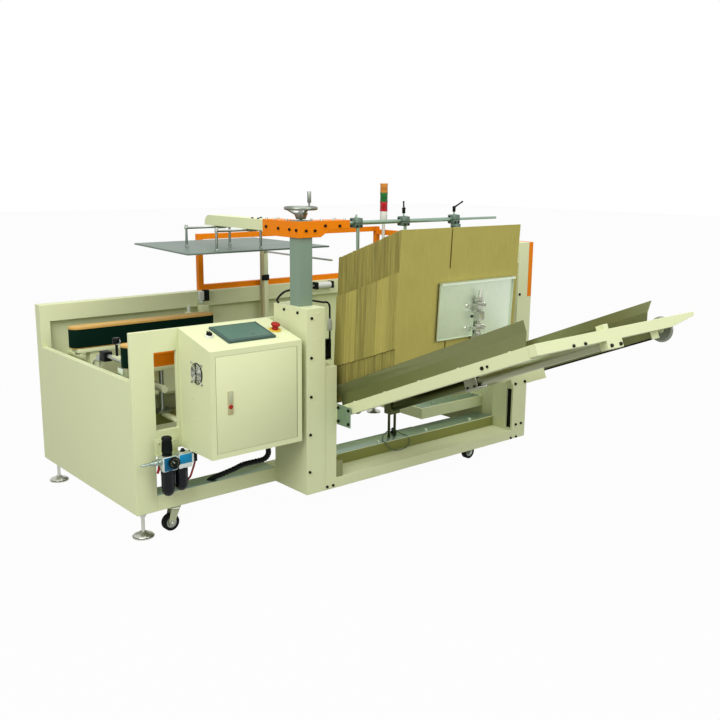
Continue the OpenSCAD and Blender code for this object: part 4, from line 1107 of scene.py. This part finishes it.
class ERECTOR_OT_inside(bpy.types.Operator):
    """Belt fittings, sensors, cylinder and deck sheet inside the machine"""
    bl_idname = "erector.inside"
    bl_label = "Inside fittings"

    def execute(self, context):
        d = Draft()
        # Screws along the top of each belt, and rings round the stub shafts beside it.
        for middle, face in ((175, 129), (740, 711)):
            for x in (110, 300, 490, 680, 790):
                d.turned((x, middle, 827), UP, [(7, -0.4), (7, 1.4), (4.6, 2.6), (0, 2.8)], "steel", 20)
            for x in (165, 715):
                d.ring((x, face, 653), BACK, 18, 3, "steel", 28, 8)
        # Plate under the back belt and its nuts.
        for x in (85, 795):
            d.hex_nut((x, 740, 712.2), -UP, 22, 11)
        d.block((70, 704, 712), (820, 776, 731.5), "cream", 1.5)
        # Sensor on its bar beside the back belt.
        d.block((884, 962, 846), (914, 980, 905), "zinc", 1.5)
        d.block((904, 940, 866), (940, 962, 928), "black", 2.5)
        d.block((878, 938, 872), (905, 962, 922), "white", 1.5)
        d.block((886, 936, 804), (932, 980.5, 846), "cream", 2)
        d.block((806, 948, 800), (832, 980.5, 812), "cream", 1.5)
        d.rod((819, 962, 811), (819, 962, 846), 8, "white", 20)
        # Dark holder and pale covers on the upright strip, the covers painting light on the strip's lit
        # front, and the ground skin of its thin rod.
        d.block((1299, 951.5, 952), (1351, 955.2, 984), "black", 1)
        d.block((1317, 953.4, 560), (1344, 955.2, 950), "cream", 0.6)
        d.block((1317, 953.4, 986), (1344, 955.2, 1108), "cream", 0.6)
        d.rod((1325, 331, 1119), (1325, 954, 1119), 5.4, "steel", 18)
        # Slim cylinder with dark end caps on the back wall.
        d.rod((1700, 955, 893), (1808, 955, 893), 19, "white", 32)
        for x0 in (1684, 1804):
            d.block((x0, 934, 872), (x0 + 18, 976, 914), "black", 2.5)
            d.block((x0 + 4, 972, 879), (x0 + 14, 981, 907), "zinc", 0.8)
        d.rod((1660, 955, 893), (1690, 955, 893), 6, "steel", 18)
        # Belt tension knob and end shaft beside the front belt.
        d.turned((70, 275, 826), UP, [(6, -60), (6, 0), (17, 1), (18, 4), (18, 22), (14, 27),
                                      (0, 28)], "black", 28)
        d.ring((70, 262, 836), (-0.6, -0.7, 0.4), 11, 2.6, "steel", 32, 8)
        d.block((56, 216, 762), (84, 300, 772), "cream", 2)
        d.rod((66, 198, 757), (66, 366, 757), 10, "steel", 20)
        d.block((46, 356, 732), (86, 408, 776), "black", 3)
        d.block((40, 400, 724), (80, 432, 752), "steel", 3)
        d.block((34, 150, 704), (60, 200, 737), "zinc", 2)
        d.block((30, 168, 690), (40, 214, 708), "black", 1)
        d.piece("Belt_and_sensor_fittings", "machine")

        # Behind the window: grey sheet with a pale edge, bar to the wall, an olive cover of painted
        # shade on the beam, a cover of the orange bar, and a grey skin of painted shade on the stub
        # shaft.
        d = Draft()
        d.block((32, 200.6, 500), (420, 204.5, 586), "ivory", 0.8)
        d.block((32, 190, 584), (420, 204.5, 592), "cream", 1)
        d.block((208, 19.8, 500), (240, 149.6, 512), "cream", 2)
        d.block((30.2, 149, 461), (420.8, 201, 513.2), "shade", 1)
        d.block((99.6, 93, 721.6), (420.4, 94.4, 740), "cream", 0.5)
        d.block((99.6, 93.4, 786), (420.4, 131, 801), "orange", 2)
        d.rod((165, 19.6, 653), (165, 131.8, 653), 15.6, "ivory", 28)
        d.piece("Window_fittings", "machine")

        d = Draft()
        d.block((1722, 30, 309.5), (2186, 860, 312.4), "sill", 0.8)
        for x, y in product((1830, 2156), (60, 440, 830)):
            d.hex_nut((x, y, 312.2), UP, 14, 8)
        d.piece("Deck_sheet", "machine")

        line = flowing([(752, -106, 1052), (736, -97, 1050), (718, -84, 1041), (708, -62, 1020),
                        (716, -36, 1000), (734, -22, 984.5)], 8)
        hose("Lift_cable", line, 10, "black")
        line = flowing([(810, -130, 1004), (832, -130, 1001), (862, -130, 995), (905, -130, 986),
                        (932, -130, 983), (946, -130, 966), (948, -130, 935), (948, -130, 880),
                        (947, -130, 800), (932, -132, 738), (908, -136, 718), (882, -140, 709)], 6)
        hose("Column_cable", line, 9, "black")

        # Sensor on a flat bracket behind the stack, and the pale coupling of its cable.
        d = Draft()
        d.block((866, -126, 707.8), (966, -100, 713), "zinc", 1)
        d.block((933, -124, 712.6), (963, -102, 806), "black", 3)
        d.turned((948, -130, 850), UP, [(5, 0), (9, 0), (12, 3), (12, 34), (9, 40), (9, 52),
                                        (5, 55)], "white", 24)
        d.piece("Stack_sensor", "machine")
        return {"FINISHED"}


class ERECTOR_OT_tower(bpy.types.Operator):
    """Signal tower with amber, green and red lamps"""
    bl_idname = "erector.tower"
    bl_label = "Signal tower"

    def execute(self, context):
        d = Draft()
        place = (2214, 925, 1332)
        for i, finish in enumerate(("lamp_red", "lamp_green", "lamp_amber")):
            low = 0.2 + i * 58
            d.turned(place, UP, [(0, low), (24, low), (25, low + 1.5), (25, low + 7),
                                 (23.8, low + 8.5), (23.8, low + 49), (25, low + 50.5),
                                 (25, low + 56), (24, low + 57.4), (0, low + 57.4)], finish, 48)
        d.turned(place, UP, [(22, 172), (23.6, 172.6), (21, 173.6), (0, 174)], "white", 40)
        d.piece("Signal_lamps", "machine", ["tower_lamps"])
        return {"FINISHED"}


# Swivels of the casters and middles of the levelling feet, in machine millimetres.
CASTERS = ((196, 30), (1992, -92), (196, 1010), (2104, 1010))
FEET = ((50, 50), (50, 990), (2208, 50), (2208, 990))


class ERECTOR_OT_casters(bpy.types.Operator):
    """Hubs, swivel rings and nuts of the casters, and lock nuts of the feet"""
    bl_idname = "erector.casters"
    bl_label = "Casters and feet"

    def execute(self, context):
        for i, (x, y) in enumerate(CASTERS, 1):
            d = Draft()
            for out in (FRONT, BACK):
                d.turned((x - 24, y, 44), out, [(24, 12.6), (24, 13.5), (20, 13.9), (17, 13.2),
                                                (9, 13.4), (8, 14.6), (5.2, 14.8)], "wheel", 36)
            d.piece("Wheel_hub_%d" % i, "wheel_%d" % i)
            d = Draft()
            d.ring((x, y, 110), UP, 24.5, 3.2, "zinc", 36, 10)
            for side in (-1, 1):
                d.hex_nut((x - 24, y + side * 18.6, 44), BACK * side, 15, 8)
            d.piece("Swivel_race_%d" % i, "swivel_%d" % i)
        d = Draft()
        for x, y in FEET:
            d.turned((x, y, 0), UP, [(44, 8), (42, 11), (24, 17), (15, 25), (12, 26)], "bright", 48)
            d.hex_nut((x, y, 104), UP, 26, 12)
        d.piece("Foot_lock_nuts", "machine")
        return {"FINISHED"}


class ERECTOR_PT_sidebar(bpy.types.Panel):
    """Steps that dress the case erector"""
    bl_idname = "ERECTOR_PT_sidebar"
    bl_label = "Case Erector"
    bl_space_type = "VIEW_3D"
    bl_region_type = "UI"
    bl_category = "Case Erector"

    def draw(self, context):
        for group in (context.scene.erector_sizes, context.scene.erector_colours):
            for name in group.__annotations__:
                self.layout.prop(group, name)
        for step in STEPS:
            self.layout.operator(step.bl_idname)


STEPS = (ERECTOR_OT_stage, ERECTOR_OT_finishes, ERECTOR_OT_air_unit, ERECTOR_OT_body,
         ERECTOR_OT_inside, ERECTOR_OT_blanks, ERECTOR_OT_console, ERECTOR_OT_head,
         ERECTOR_OT_pusher, ERECTOR_OT_magazine, ERECTOR_OT_tower, ERECTOR_OT_casters)
CLASSES = (ErectorSizes, ErectorColours) + STEPS + (ERECTOR_PT_sidebar,)


def register():
    for c in CLASSES:
        bpy.utils.register_class(c)
    bpy.types.Scene.erector_sizes = PointerProperty(type=ErectorSizes)
    bpy.types.Scene.erector_colours = PointerProperty(type=ErectorColours)


def unregister():
    del bpy.types.Scene.erector_colours
    del bpy.types.Scene.erector_sizes
    for c in reversed(CLASSES):
        bpy.utils.unregister_class(c)


def main():
    register()
    bpy.ops.erector.stage()
    bpy.ops.erector.finishes()
    bpy.ops.erector.air_unit()
    bpy.ops.erector.body()
    bpy.ops.erector.inside()
    bpy.ops.erector.blanks()
    bpy.ops.erector.console()
    bpy.ops.erector.head()
    bpy.ops.erector.pusher()
    bpy.ops.erector.magazine()
    bpy.ops.erector.tower()
    bpy.ops.erector.casters()


if __name__ == "__main__":
    main()
